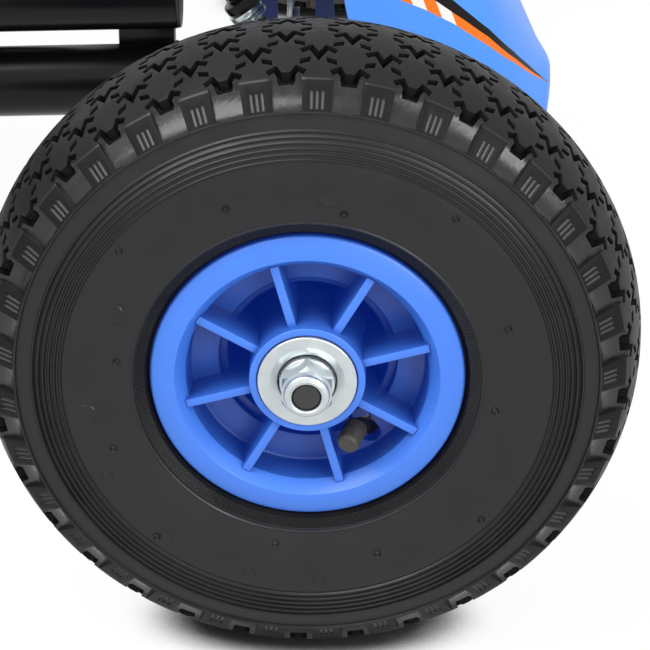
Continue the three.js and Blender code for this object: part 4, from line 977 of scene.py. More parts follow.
def make_spine():
    """The lower tube, the two blocks that carry the upper one, and the brake shaft's cross tube."""
    ends = [(x, 0, spine_z(x)) for x in (SPINE_REAR, SPINE_FRONT)]
    parts = [pipe(*ends, TUBE_RADIUS, TUBE_BORE)]
    for x, inward in ((SPINE_REAR, 1), (SPINE_FRONT, -1)):
        middle = Vector((x, 0, spine_z(x)))
        parts.append(rod(middle, middle + Vector((inward * 2, 0, 0)), 16.5))
        parts.append(weld(circle(middle + Vector((inward * 1.2, 0, 0)), (1, 0, 0), 16.8, 40), 0.9))
    for front in (-73.5, -672):
        rear = front - 28
        outline = [(rear, spine_z(rear) + 10), (front, spine_z(front) + 10), (front, rail_z(front) - 12),
                   (rear, rail_z(rear) - 12)]
        parts.append(plate(outline, 3, 13, 1.5))
        for z, lift in ((spine_z(rear), 13.5), (rail_z(rear), -14.6)):
            foot = [(rear - 0.5, 3, z + lift + 2.6), (front + 0.5, 3, z + lift + 3.4),
                    (front + 0.5, 13.5, z + lift + 0.8)]
            parts.append(weld(foot[:2] if lift < 0 else foot, 1.3))
    brake_z = spine_z(BRAKE_X)
    parts.append(pipe((BRAKE_X, -14, brake_z), (BRAKE_X, -200, brake_z), 11, 6.4))
    parts.append(weld(saddle((BRAKE_X, 0, brake_z), (1, 0, 0.03), (0, -1, 0), 17.4, 11), 1.8))
    return gather(parts)


def make_rail():
    """The upper tube with the crank's shell, and the post that carries the steering column."""
    ends = [(x, 0, rail_z(x)) for x in (RAIL_REAR, RAIL_FRONT)]
    parts = [pipe(*ends, TUBE_RADIUS, TUBE_BORE)]
    shell_x, shell_z = CRANK
    parts.append(pipe((shell_x, -35, shell_z), (shell_x, 35, shell_z), 17, 14.2, 1))
    cheeks = [(-192, rail_z(-192) + 8), (-168, rail_z(-168) + 8), (-168, shell_z - 12), (-192, shell_z - 12)]
    parts.append(plate(cheeks, -12, 12, 1.5))
    parts.append(weld([(-192, -12.5, 155.4), (-168, -12.5, 156), (-168, 12.5, 156), (-192, 12.5, 155.4),
                       (-192, -12.5, 155.4)], 1.9))
    for y in (-12.3, 12.3):
        parts.append(weld(circle((shell_x, y, shell_z), (0, 1, 0), 17.4, 40)[14:35], 1.6))
    foot, top = Vector((-88, 0, rail_z(-88))), on_column(110)
    parts.append(rod(foot, top, 12.5))
    parts.append(weld(saddle(foot, (1, 0, 0.03), top - foot, 17.4, 12.5), 2))
    parts.append(pipe(on_column(50), on_column(170), 15, 11.2, 0.8))
    parts.append(weld(saddle(top, on_column(1) - on_column(0), foot - top, 14.8, 12.5), 2))
    return gather(parts)


def make_tube_plugs():
    """Plastic plugs that close the upper tube's ends."""
    plugs = []
    for x, out in ((RAIL_REAR, -1), (RAIL_FRONT, 1)):
        face = Vector((x, 0, rail_z(x)))
        axis = Vector((out, 0, out * 0.0276))
        outline = rounded([(0, -12, 0), (15.2, -12, 0), (15.2, 0, 0), (17.2, 0, 0.3), (17.2, 1.6, 0.9),
                           (0, 2, 0)], 3)
        plugs.append(aimed(turned(outline, ROUND_STEPS), face, face + axis))
    return gather(plugs)


def fork(side):
    """A bent plate that holds the kingpin between two jaws, with an upright plate by the beam."""
    section = rounded([
        (236, 83, 1), (242, 83, 1), (242, 104, 0.5), (281, 104, 2), (281, 110, 2), (242, 110, 1.5), (242, 150, 1.5),
        (281, 150, 2), (281, 156, 2), (236, 156, 5),
    ], 4)
    gusset = rounded([(236, 112, 1), (236, 146, 1), (214, 112, 1)], 2)
    parts = [plate([(side * y, z) for y, z in section], 8, 40, 0.8, "YZ"),
             plate([(side * y, z) for y, z in gusset], 21, 27, 0.6, "YZ")]
    for z, rise in ((104, -0.3), (110, 0.3), (150, -0.3), (156, 0.3)):
        parts.append(pipe((BEAM_X, side * KINGPIN_Y, z - 0.1), (BEAM_X, side * KINGPIN_Y, z + rise), 11, 5.3, 0.1))
    parts.append(weld(circle((BEAM_X, side * 235.6, BEAM_Z), (0, 1, 0), 13.8), 2))
    parts += [weld([(x, side * 235.6, 113), (x, side * 235.6, 145)], 1.4) for x in (27.8, 20.2)]
    return parts


def make_front_beam():
    parts = [pipe((BEAM_X, -236, BEAM_Z), (BEAM_X, 236, BEAM_Z), 14, 12)]
    for side in (-1, 1):
        parts += fork(side)
    for z in (-1, 1):
        parts.append(weld([(11.5, -12, BEAM_Z + z * 11), (11.5, 12, BEAM_Z + z * 11)], 1.9))
    return gather(parts)


def make_rear_carrier():
    """The rear cross tube with its two bearing plates."""
    parts = [pipe((-WHEELBASE, -231, 75), (-WHEELBASE, 231, 75), 13, 11)]
    for side in (-1, 1):
        outline = rounded([(-825, 58, 8), (-775, 58, 8), (-775, 155, 20), (-825, 155, 20)], 6)
        cheek = plate(outline, 225, 231, 0)
        hole = rod((-WHEELBASE, 220, AXLE_Z), (-WHEELBASE, 236, AXLE_Z), 16.3, 0)
        cheek = ease(combined(cheek, hole, "DIFFERENCE"), 0.8)
        bmesh.ops.scale(cheek, vec=(1, side, 1), verts=cheek.verts)
        bmesh.ops.recalc_face_normals(cheek, faces=cheek.faces)
        parts.append(cheek)
        rib = [(side * y, z) for y, z in rounded([(225, 92, 1), (225, 112, 1), (200, 90, 1), (200, 86, 1)], 2)]
        parts.append(plate(rib, -803, -797, 0.6, "YZ"))
        parts.append(weld(circle((-WHEELBASE, side * 224.4, 75), (0, 1, 0), 13), 2))
    for z in (-1, 1):
        parts.append(weld([(-788, -12, 75 + z * 11), (-788, 12, 75 + z * 11)], 1.9))
    return gather(parts)


def make_rear_bearing(side):
    """A sealed ball bearing pressed into the plate, with its seals and inner ring."""
    middle = side * 228
    outline = rounded([
        (8.2, 5, 0.4), (10.6, 5, 0.3), (10.9, 4.4, 0), (13.2, 4.4, 0), (13.4, 5, 0.3), (16, 5, 0.5),
        (16, -5, 0.5), (13.4, -5, 0.3), (13.2, -4.4, 0), (10.9, -4.4, 0), (10.6, -5, 0.3), (8.2, -5, 0.4),
    ], 3)
    return placed(turned(outline, ROUND_STEPS), Matrix.Translation((-WHEELBASE, middle, AXLE_Z)))


def make_rear_axle():
    """The turned rear axle: shoulders at the wheels, threaded ends and a key by the sprocket."""
    outline = rounded([(0, -366, 0), (5.7, -366, 0.6), (5.7, -296, 0), (8, -295.4, 0.6), (8, 295.4, 0.6),
                       (5.7, 296, 0), (5.7, 366, 0.6), (0, 366, 0)], 2)
    axle = turned(outline, ROUND_STEPS)
    parts = [axle, block((-2.5, 24, 5), (2.5, 54, 9.6), 0.8)]
    for y in (18, 216.5, -216.5):
        parts.append(pipe((0, y, 0), (0, y + 6, 0) if y > 0 else (0, y - 6, 0), 13.5, 8, 0.7))
        parts.append(rod((0, y + math.copysign(3, y), 10), (0, y + math.copysign(3, y), 14.4), 2.2, 0.4))
    return placed(gather(parts), Matrix.Translation((-WHEELBASE, 0, AXLE_Z)))


# Steering


def make_knuckle(side):
    """A forged knuckle: a boss round the kingpin, the stub axle with its shoulder, and the steering arm."""
    y = side * KINGPIN_Y
    boss = pipe((BEAM_X, y, 110.7), (BEAM_X, y, 149.3), 12.4, 5.4, 1.2)
    outline = rounded([(-12, 110.7, 4), (24, 110.7, 1), (24, 149.3, 1), (-12, 149.3, 8)], 5)
    bore = rod((BEAM_X, y, 100), (BEAM_X, y, 160), 5.4, 0)
    body = combined(plate(outline, y - 10, y + 10, 2.2), bore, "DIFFERENCE")
    neck = turned(rounded([(0, 0, 0), (14, 0, 0), (14, 11, 2), (10, 16, 3), (10, 28, 0.8), (5.8, 28, 0),
                           (5.8, 98, 0.5), (0, 98, 0)], 4), ROUND_STEPS)
    arm_line = rounded([(PIN_X - 9, y - 8.5, 8), (-6, y - 10, 3), (2, y - 10, 0), (2, y + 10, 0), (-6, y + 10, 3),
                        (PIN_X - 9, y + 8.5, 8)], 6)
    return gather([
        boss, body, aimed(neck, (0, y, AXLE_Z), (0, y + side, AXLE_Z)),
        plate(arm_line, 110.6, 116.4, 1.2, "XY"),
        rod((PIN_X, y, 115), (PIN_X, y, 98), 2.9),
        hexagon((PIN_X, y, 116.4), (PIN_X, y, 119.4), 9),
        hexagon((PIN_X, y, 99.2), (PIN_X, y, 96.7), 10, 0.5),
    ])


def make_kingpin(side):
    """A bolt through the fork, with a lock nut and washers."""
    y = side * KINGPIN_Y
    return gather([
        rod((BEAM_X, y, 100), (BEAM_X, y, 160), 4.9),
        pipe((BEAM_X, y, 156.7), (BEAM_X, y, 158), 8.8, 5, 0.2),
        hexagon((BEAM_X, y, 158), (BEAM_X, y, 163), 13),
        pipe((BEAM_X, y, 103.3), (BEAM_X, y, 102), 8.8, 5, 0.2),
        hexagon((BEAM_X, y, 102), (BEAM_X, y, 96.7), 13),
    ])


def make_tie_rod(side, layer):
    """A rod with an eye at each end; both inner eyes hang on one stud under the drop arm."""
    y = side * KINGPIN_Y
    outer = pipe((PIN_X, y, 101.6), (PIN_X, y, 106.4), 8, 3.4, 0.9)
    top = -0.8 - layer * 3.5
    inner = pipe(on_column(top - 3, -30), on_column(top, -30), 9, 5.8, 0.6)
    tab = placed(block((side * 13 - 7.2, top - 2.9, -35), (side * 13 + 7.2, top - 0.1, -25), 0.7), COLUMN)
    start = on_column(top - 1.5, -30, side * 14)
    end = Vector((PIN_X, y - side * 6, 104))
    along = (end - start).normalized()
    neck = rod(end - along * 12, end + along * 1, 4.6)
    nut = hexagon(end - along * 17.5, end - along * 12.5, 9, 0.5)
    return gather([outer, inner, tab, rod(start, end, 4), neck, nut])


def make_steering_shaft():
    """The steering shaft with its drop arm, the stud for the tie rods and a nut above the wheel."""
    shaft = pipe((0, 0, 0), (0, 448, 0), 8, 5, 0.7)
    arm_line = rounded([(-9, 8, 3), (9, 8, 3), (9, -38, 8), (-9, -38, 8)], 6)
    arm = plate(arm_line, 0.1, 4.9, 0.9)
    bead = weld(circle((0, 5, 0), (0, 1, 0), 8.2), 1.4)
    stud = rod((0, 4, -30), (0, -12.4, -30), 2.9)
    head = pipe((0, -12.4, -30), (0, -10.6, -30), 5.9, 2.8, 0.3)
    top = hexagon((0, 4.8, -30), (0, 8.2, -30), 9)
    return placed(gather([shaft, arm, bead, stud, head, top]), COLUMN)


def make_column_bush():
    return pipe(on_column(50.2), on_column(169.8), 11, 8.4, 0.5)


def make_column_collars():
    """Clamp collars that keep the shaft in its bush."""
    parts = []
    for up in (40, 171.5):
        parts.append(pipe((0, up, 0), (0, up + 8.5, 0), 14, 8.1, 0.8))
        parts.append(hexagon((0, up + 4.2, 13.4), (0, up + 4.2, 15.8), 6, 0.4))
    return placed(gather(parts), COLUMN)


def make_grip():
    """The foam grip round the steering wheel's rim, cut into thirds by the spokes' ends."""
    outline = [(128 + 11.9 * math.cos(t), 11.9 * math.sin(t)) for t in (FULL_TURN * k / 28 for k in range(28))]
    grip = turned(outline, 96)
    for v in grip.verts:
        turn = math.degrees(math.atan2(v.co.x, v.co.z)) % 360
        near = min(abs(turn - spoke) for spoke in (90, 180, 270))
        reach = Vector((v.co.x, 0, v.co.z))
        centre = reach.normalized() * 128
        swell = 1 - 0.1 * math.exp(-((near - 8.5) / 1.2) ** 2)
        v.co = centre + (v.co - centre) * swell
    return placed(grip, COLUMN_TOP)


def make_wheel_spokes():
    """Three pressed steel spokes with folded edges that meet under the hub's cover."""
    parts = []
    for turn in (90, 180, 270):
        flat = rounded([(-12.5, 18, 2), (12.5, 18, 2), (9, 70, 20), (11.5, 121, 3), (-11.5, 121, 3),
                        (-9, 70, 20)], 6)
        spoke = plate(flat, -1.4, 1.4, 0.9)
        rib = plate(rounded_box((-3.2, 26), (3.2, 108), 3), 0.5, 2.9, 0.9)
        parts.append(placed(gather([spoke, rib]), Matrix.Rotation(math.radians(turn), 4, "Y")))
    return placed(gather(parts), COLUMN_TOP)


def make_wheel_hub():
    """The wheel's moulded hub with its boss below and a round cover on top."""
    outline = rounded([(8.3, -13, 0), (14, -13, 1.5), (16, -4, 3), (26, -3.4, 1.5), (26, 3.5, 1.5),
                       (22.5, 4.2, 0.4), (21.5, 9.5, 2.5), (12, 12.6, 8), (8.3, 12.8, 0)], 4)
    parts = [turned(outline, 64)]
    for k in range(3):
        turn = math.radians(30 + 120 * k)
        x, z = 23.9 * math.cos(turn), 23.9 * math.sin(turn)
        parts.append(rod((x, 3, z), (x, 5.2, z), 2.1, 0.7))
    parts.append(rod((0, 11, 0), (0, 12.9, 0), 8.6, 0.8))
    return placed(gather(parts), COLUMN_TOP)


# Crank, pedals and chain


def crank_arm(side):
    """A forged crank arm: a wide boss on the axle, a waist, and a smaller boss at the pedal."""
    x, z = CRANK
    end = x + side * CRANK_LENGTH
    upper = [(-12, 12, 11.9), (26, 11.5, 14), (84, 8, 30), (CRANK_LENGTH + 11, 11, 10.5)]
    line = [(x + side * out, z - up, fillet) for out, up, fillet in upper]
    line += [(x + side * out, z + up, fillet) for out, up, fillet in reversed(upper)]
    near, far = sorted((side * 58.1, side * 65.9))
    return [
        plate(rounded(line, 6), near, far, 1.8),
        rod((end, side * 60, z), (end, side * 161.5, z), 4.9, 0.8),
        rod((end, side * 65, z), (end, side * 69.5, z), 8.5, 1),
        rod((x, side * 64, z), (x, side * 66.4, z), 8.2, 0.9),
    ]


def make_crank():
    x, z = CRANK
    parts = [rod((x, -60, z), (x, 60, z), 7.9)]
    for side in (-1, 1):
        parts += crank_arm(side)
        parts.append(pipe((x, side * 36, z), (x, side * 38, z), 12.5, 8, 0.5))
    return gather(parts)


def make_crank_bush(side):
    x, z = CRANK
    return pipe((x, side * 20.2, z), (x, side * 35, z), 13.9, 8.4, 0.6)


def make_pedal(side):
    """A moulded pedal: two treads joined by ribs round the spindle, with raised grip bars."""
    x, z = CRANK[0] + side * CRANK_LENGTH, CRANK[1]
    middle = side * 118

    def bar(along, across, half_length, half_width, base, top, fillet=0.9, segments=2):
        low = (x + along - half_length, middle + across - half_width, z + base)
        return block(low, (low[0] + 2 * half_length, low[1] + 2 * half_width, z + top), fillet, segments)

    body = bar(0, 0, 34, 46, -9.5, 9.5, 4, 4)
    for out in (-19, 19):
        for shift in (-17, 17):
            body = combined(body, bar(out, shift, 9, 14, -20, 20, 2, 3), "DIFFERENCE")
    spindle = rod((x, middle - 60, z), (x, middle + 60, z), 5.4, 0)
    parts = [combined(body, spindle, "DIFFERENCE")]
    for low, high in ((-10.9, -8.5), (8.5, 10.9)):
        parts += [bar(0, across, 6.5, 2.2, low, high) for across in (-26, 0, 26)]
        parts += [bar(out, 0, 2, 42, low, high) for out in (-31, 31)]
    rim = pipe((x, middle - side * 46.4, z), (x, middle - side * 40, z), 9.3, 5.5, 0.8)
    return gather(parts + [rim])


def toothed_disc(middle, teeth, half, bore, holes):
    """A sprocket: hollows between rounded teeth, lightening holes and chamfered tips."""
    pitch_radius = PITCH / (2 * math.sin(math.pi / teeth))
    tooth = ((0, -3.9), (0.14, -3.3), (0.26, -1.2), (0.4, 1.9), (0.6, 1.9), (0.74, -1.2), (0.86, -3.3))
    outline = []
    for k in range(teeth):
        for share, reach in tooth:
            turn = FULL_TURN * (k + share) / teeth
            outline.append(((pitch_radius + reach) * math.cos(turn), (pitch_radius + reach) * math.sin(turn)))
    disc = plate(outline, -half, half, 0)
    cutters = [rod((0, -9, 0), (0, 9, 0), bore, 0)]
    count, ring, size = holes
    for k in range(count):
        turn = FULL_TURN * k / count
        x, z = ring * math.cos(turn), ring * math.sin(turn)
        cutters.append(rod((x, -9, z), (x, 9, z), size, 0))
    disc = ease(combined(disc, gather(cutters), "DIFFERENCE"), 0.4)
    return placed(disc, Matrix.Translation(middle))


def make_chainring():
    x, z = CRANK
    ring = toothed_disc((x, CHAIN_Y, z), RING_TEETH, 1.4, 8.3, (5, 30, 10))
    hub = pipe((x, CHAIN_Y - 1.2, z), (x, CHAIN_Y + 9, z), 15, 8.3, 0.8)
    return gather([ring, hub])


def make_rear_sprocket():
    place = (-WHEELBASE, CHAIN_Y, AXLE_Z)
    ring = toothed_disc(place, SPROCKET_TEETH, 1.4, 8.3, (3, 16, 2))
    x, y, z = place
    return gather([ring, pipe((x, y - 11, z), (x, y + 1.2, z), 13, 8.3, 0.8)])


def chain_run(front_radius, rear_radius):
    """The drive from the side: places round both sprockets, the tilt between them, half the wrap, and the run."""
    (x1, z1), (x2, z2) = CRANK, (-WHEELBASE, AXLE_Z)
    span, tilt = math.hypot(x1 - x2, z1 - z2), math.atan2(z1 - z2, x1 - x2)
    lean = math.acos((front_radius - rear_radius) / span)

    def front(turn):
        return x1 + front_radius * math.cos(turn), z1 + front_radius * math.sin(turn)

    def rear(turn):
        return x2 + rear_radius * math.cos(turn), z2 + rear_radius * math.sin(turn)

    return front, rear, tilt, lean, span * math.sin(lean)


def chain_line():
    """Points one pitch apart along the closed chain."""
    big, small = [PITCH / (2 * math.sin(math.pi / teeth)) + 1.2 for teeth in (RING_TEETH, SPROCKET_TEETH)]
    front, rear, tilt, lean, run = chain_run(big, small)
    wrap, rear_wrap = 2 * lean * big, 2 * (math.pi - lean) * small
    total = 2 * run + wrap + rear_wrap
    count = 2 * round(total / PITCH / 2)
    places = []
    for k in range(count):
        s = total * k / count
        if s < wrap:
            places.append(front(tilt - lean + s / big))
        elif s < wrap + run:
            places.append(Vector(front(tilt + lean)).lerp(Vector(rear(tilt + lean)), (s - wrap) / run))
        elif s < wrap + run + rear_wrap:
            places.append(rear(tilt + lean + (s - wrap - run) / small))
        else:
            share = (s - wrap - run - rear_wrap) / run
            places.append(Vector(rear(tilt - lean)).lerp(Vector(front(tilt - lean)), share))
    return places


def make_chain():
    """A roller chain: rollers a pitch apart, with inner and outer link plates by turns."""
    places = chain_line()
    side_line = rounded_box((-4, -3.6), (PITCH + 4, 3.6), 3.5, 3)
    links = []
    for k, (x, z) in enumerate(places):
        x2, z2 = places[(k + 1) % len(places)]
        turn = Matrix.Rotation(-math.atan2(z2 - z, x2 - x), 4, "Y")
        out = 2.3 if k % 2 else 1.3
        link = [plate(side_line, y, y + 0.9, 0) for y in (-out - 0.9, out)]
        barrels = []
        for sides, radius, depth in ((10, 3.4, 2.6), (8, 1.7, 6.9)):
            barrels.append(bmesh.new())
            bmesh.ops.create_cone(barrels[-1], cap_ends=True, segments=sides, radius1=radius, radius2=radius,
                                  depth=depth, matrix=Matrix.Rotation(math.radians(90), 4, "X"))
        links.append(placed(gather(link + barrels), Matrix.Translation((x, CHAIN_Y, z)) @ turn))
    return gather(links)


# Chain guard, seat, fairing and brake


def belt(front_radius, rear_radius, steps=28):
    """An outline round the chainring, the rear sprocket and the straight runs between them."""
    front, rear, tilt, lean, _ = chain_run(front_radius, rear_radius)
    shares = [k / steps for k in range(steps + 1)]
    return ([front(tilt - lean + 2 * lean * share) for share in shares]
            + [rear(tilt + lean + 2 * (math.pi - lean) * share) for share in shares])


def make_chain_guard():
    """A moulded cover over the chain: a flat face with a raised panel, and a wall that hides the links."""
    shell = plate(belt(67, 40.8), 30, 53.4, 0)
    room = plate(belt(64.5, 38.3), 20, 51, 0)
    holes = [rod((x, 10, z), (x, 70, z), r, 0) for x, z, r in ((*CRANK, 11), (-WHEELBASE, AXLE_Z, 11))]
    shell = ease(combined(combined(shell, room, "DIFFERENCE"), gather(holes), "DIFFERENCE"), 0.9, 3)
    panel = plate(belt(52, 27), 53, 54, 0.45)
    rings = [rod((x, 10, z), (x, 70, z), r, 0) for x, z, r in ((*CRANK, 14), (-WHEELBASE, AXLE_Z, 14))]
    panel = combined(panel, gather(rings), "DIFFERENCE")
    tab = block((-347, 17.9, rail_z(-335) - 6), (-323, 52, rail_z(-335) + 6), 1.5)
    screws = [rod((x, 52, z), (x, 54, z), 3.6, 1) for x, z in ((-335, rail_z(-335)), (-560, 178), (-560, 128))]
    return gather([shell, panel, tab, *screws])


def line_at(line, x):
    """The height of a line of points at x."""
    for (x1, y1), (x2, y2) in zip(line, line[1:]):
        if min(x1, x2) <= x <= max(x1, x2) and x1 != x2:
            return y1 + (y2 - y1) * (x - x1) / (x2 - x1)
    return line[0][1] if abs(x - line[0][0]) < abs(x - line[-1][0]) else line[-1][1]


def lofted(sections):
    """A skin drawn through a row of open sections that all have as many points."""
    skin = bmesh.new()
    rows = []
    for section in sections:
        verts = [skin.verts.new(point) for point in section]
        rows.append([skin.edges.new(pair) for pair in zip(verts, verts[1:])])
    for a, b in zip(rows, rows[1:]):
        bmesh.ops.bridge_loops(skin, edges=a + b)
    bmesh.ops.recalc_face_normals(skin, faces=skin.faces)
    return skin


def seat_sections():
    """Sections across the bucket seat, from its front lip along the base and up the back."""
    path = rounded([(-415, 0, 0), (-428, 6, 0), (-670, 6, 70), (-754, 310, 0)], 14)
    path = [(-415, 231.5), (-420, 233), (-430, 235)] + [(x, 230 + z) for x, z in path[2:]]
    fine = []
    for (xa, za), (xb, zb) in zip(path, path[1:]):
        count = max(1, round(math.hypot(xb - xa, zb - za) / 22))
        fine += [(xa + (xb - xa) * k / count, za + (zb - za) * k / count) for k in range(count)]
    fine.append(path[-1])
    sections = []
    travelled = 0
    for k, (x, z) in enumerate(fine):
        before, after = fine[max(k - 1, 0)], fine[min(k + 1, len(fine) - 1)]
        along = Vector((after[0] - before[0], 0, after[1] - before[1])).normalized()
        inward = Vector((along.z, 0, -along.x))
        travelled += math.hypot(x - before[0], z - before[1])
        height = line_at([(0, 26), (60, 34), (200, 62), (300, 66), (440, 56), (560, 44), (600, 30)], travelled)
        corner = min(26, height - 4)
        half = 152
        profile = [(160, height - 2.4), (159.6, height), (156, height + 0.6), (half + 0.6, height - 2)]
        profile.append((half, corner + (height - corner) * 0.5))
        for step in range(7):
            turn = math.pi / 2 * step / 6
            profile.append((half - corner + corner * math.cos(turn), corner - corner * math.sin(turn)))
        profile += [(half - corner - share * (half - corner), 0) for share in (0.25, 0.5, 0.75)]
        dish = [(y, h + 5 * (abs(y) / half) ** 2 if h < corner else h) for y, h in profile]
        row = dish + [(0, 0)] + [(-y, h) for y, h in reversed(dish)]
        sections.append([Vector((x, y, z)) + inward * h for y, h in row])
    return sections


def make_seat():
    """A one-piece moulded bucket seat with rolled edges, and the bolts that hold it."""
    skin = lofted(seat_sections())
    for face in skin.faces:
        face.normal_update()
    floor = min(skin.faces, key=lambda f: (f.calc_center_median() - Vector((-540, 0, 232))).length)
    if floor.normal.z < 0:
        bmesh.ops.reverse_faces(skin, faces=skin.faces)
    bmesh.ops.solidify(skin, geom=skin.faces[:], thickness=4)
    bolts = []
    for x in (-580, -500):
        for y in (-50, 50):
            bolts.append(turned(rounded([(0, 0, 0), (9, 0, 0.3), (8, 2.2, 1.6), (0, 3.6, 0)], 4), 28))
            placed(bolts[-1], Matrix.Translation((x, y, 236.4)) @ Matrix.Rotation(math.radians(90), 4, "X"))
    return skin, gather(bolts)


def make_seat_clamp():
    """A folded steel saddle on the upper tube with a top plate for the seat."""
    section = rounded([(-27, -6, 1), (-27, 22, 4), (-20, 29, 5), (-20, 68.2, 1), (20, 68.2, 1), (20, 29, 5),
                       (27, 22, 4), (27, -6, 1)], 4)
    base = rail_z(CLAMP_X)
    top = 229.7
    outline = [(y, base + h if h < 60 else top - 3) for y, h in section]
    clamp = plate(outline, -600, -480, 0, "YZ")
    tunnel = rod((-620, 0, rail_z(-620)), (-460, 0, rail_z(-460)), 18.1, 0)
    slot = plate([(-18, base - 20), (18, base - 20), (18, base), (-18, base)], -620, -460, 0, "YZ")
    hollow = plate([(-15, base + 25), (15, base + 25), (15, top - 8), (-15, top - 8)], -620, -460, 0, "YZ")
    hole = rod((CLAMP_X, -40, base + 6), (CLAMP_X, -5, base + 6), 4.4, 0)
    for cutter in (tunnel, slot, hollow, hole):
        clamp = combined(clamp, cutter, "DIFFERENCE")
    ease(clamp, 0.8)
    sheet = plate(rounded_box((-600, -70), (-480, 70), 8), top - 5, top, 0.9, "XY")
    return gather([clamp, sheet])


def make_seat_knob():
    """A lobed clamping knob with a moulded cap."""
    outline = []
    for k in range(96):
        turn = FULL_TURN * k / 96
        reach = 18.4 + 1.5 * math.cos(8 * turn)
        outline.append((reach * math.cos(turn), reach * math.sin(turn)))
    parts = [plate(outline, -45.4, -33, 1.8), rod((0, -34, 0), (0, -27.6, 0), 9.5),
             rod((0, -45.2, 0), (0, -45.5, 0), 11, 0.1), rod((0, -29, 0), (0, -18.2, 0), 3.9)]
    return moved(gather(parts), CLAMP_X, 0, rail_z(CLAMP_X) + 6)


HOOD_LINE = [(112, 103.5, 0), (110.8, 106, 0), (105.6, 114, 8), (77, 173, 90), (22, 243, 130), (-95, 325.5, 0)]
CHIN_LINE = [(112, 100), (111.5, 96), (108.5, 80), (105.5, 76), (-120, 76)]
FAIRING_PLAN = [(112, 4), (111.7, 12), (111, 18), (109.2, 27), (107, 33), (104, 39), (99.5, 46), (94, 54), (88, 61),
                (80, 68), (60, 79.5), (8, 105.5), (-4, 108.6), (-20, 110), (-120, 110)]
FAIRING_STATIONS = [112, 111.9, 111.7, 111.4, 111, 110.4, 109.9, 109.2, 108.2, 107, 105.6, 104, 102, 99.5, 96.5, 93,
                    89, 84.5, 79.5, 74, 68, 61, *range(54, -3, -8), -11, *range(-20, -91, -10)]


def fairing_sections():
    """Arches across the fairing from its nose to the rear of the hood: round in front, boxy behind."""
    hood = rounded([(60, 60, 0), *HOOD_LINE, (-95, 60, 0)], 9)
    top = [p for p in hood if p[1] > 103]
    sections = []
    for x in FAIRING_STATIONS:
        high, low, half = line_at(top, x), line_at(CHIN_LINE, x), line_at(FAIRING_PLAN, x)
        ahead = min(max((x - 20) / 85, 0), 1)
        across, upwards = 6 - 3.5 * ahead, 9 - 6.5 * ahead
        arch = []
        for k in range(16):
            turn = math.pi / 2 * (k / 16) ** 1.5
            arch.append((half * math.cos(turn) ** (2 / across),
                         low + (high - low) * math.sin(turn) ** (2 / upwards)))
        row = arch + [(0, high)] + [(-y, z) for y, z in reversed(arch)]
        sections.append([Vector((x, y, z)) for y, z in row])
    return sections


def make_fairing():
    """The blue nose fairing: a thin moulded shell, open below and behind, cut out round the front beam."""
    skin = lofted(fairing_sections())
    tip = [v for v in skin.verts if v.co.x > HOOD_LINE[0][0] - 0.02]
    bmesh.ops.contextual_create(skin, geom=tip)
    bmesh.ops.recalc_face_normals(skin, faces=skin.faces)
    front = max(skin.faces, key=lambda f: f.calc_center_median().x)
    if front.normal.x < 0:
        bmesh.ops.reverse_faces(skin, faces=skin.faces)
    bmesh.ops.solidify(skin, geom=skin.faces[:], thickness=2.8)
    bmesh.ops.recalc_face_normals(skin, faces=skin.faces)
    keep = plate(rounded([
        (130, 76.2, 0), (130, 420, 0), (-89.5, 420, 0), (-89.5, 308, 2), (-35, 262, 12), (5, 212, 20), (18, 140, 4),
        (44, 140, 4), (44, 98, 3), (-38, 98, 4), (-38, 76.2, 4),
    ], 6), -130, 130, 0)
    shell = combined(skin, keep, "INTERSECT")
    vent = plate(rounded_box((-26, 79), (-6, 95), 2, 4), -130, 130, 0)
    slot = plate(rounded([(4, 80, 3), (44, 80, 3), (44, 130, 0), (4, 130, 0)], 4), -130, 130, 0)
    shell = combined(combined(shell, vent, "DIFFERENCE"), slot, "DIFFERENCE")
    # Faces turned inwards take the second finish, whose navy is painted shade.
    middle = Vector((-60, 0, 100))
    for face in shell.faces:
        outward = face.calc_center_median() - middle
        if face.normal.dot(outward) < 0 and abs(face.normal.x) < 0.9:
            face.material_index = 1
    return shell


def make_fairing_bracket():
    """A zinc-plated strap bent up at both ends, bolted to the fairing."""
    low = 115.2
    line = [(-16.5, low + 16), (-16.5, low + 1.5), (99.5, low + 1.5), (93, low + 14)]
    parts = [plate(ribbon(line, 2.8), -15, 15, 0.8)]
    for y in (-8, 8):
        parts.append(hexagon((94.6, y, low + 7.6), (91.8, y, low + 6.2), 8))
        parts.append(hexagon((-15.1, y, low + 10), (-12, y, low + 10), 8))
    return gather(parts)


def brake_place(radius, along):
    """A place by the brake: out from the rear axle, and along the tyre's edge from the middle of the shoe."""
    turn = math.radians(SHOE_ANGLE)
    return (-WHEELBASE + radius * math.cos(turn) - along * math.sin(turn),
            AXLE_Z + radius * math.sin(turn) + along * math.cos(turn))


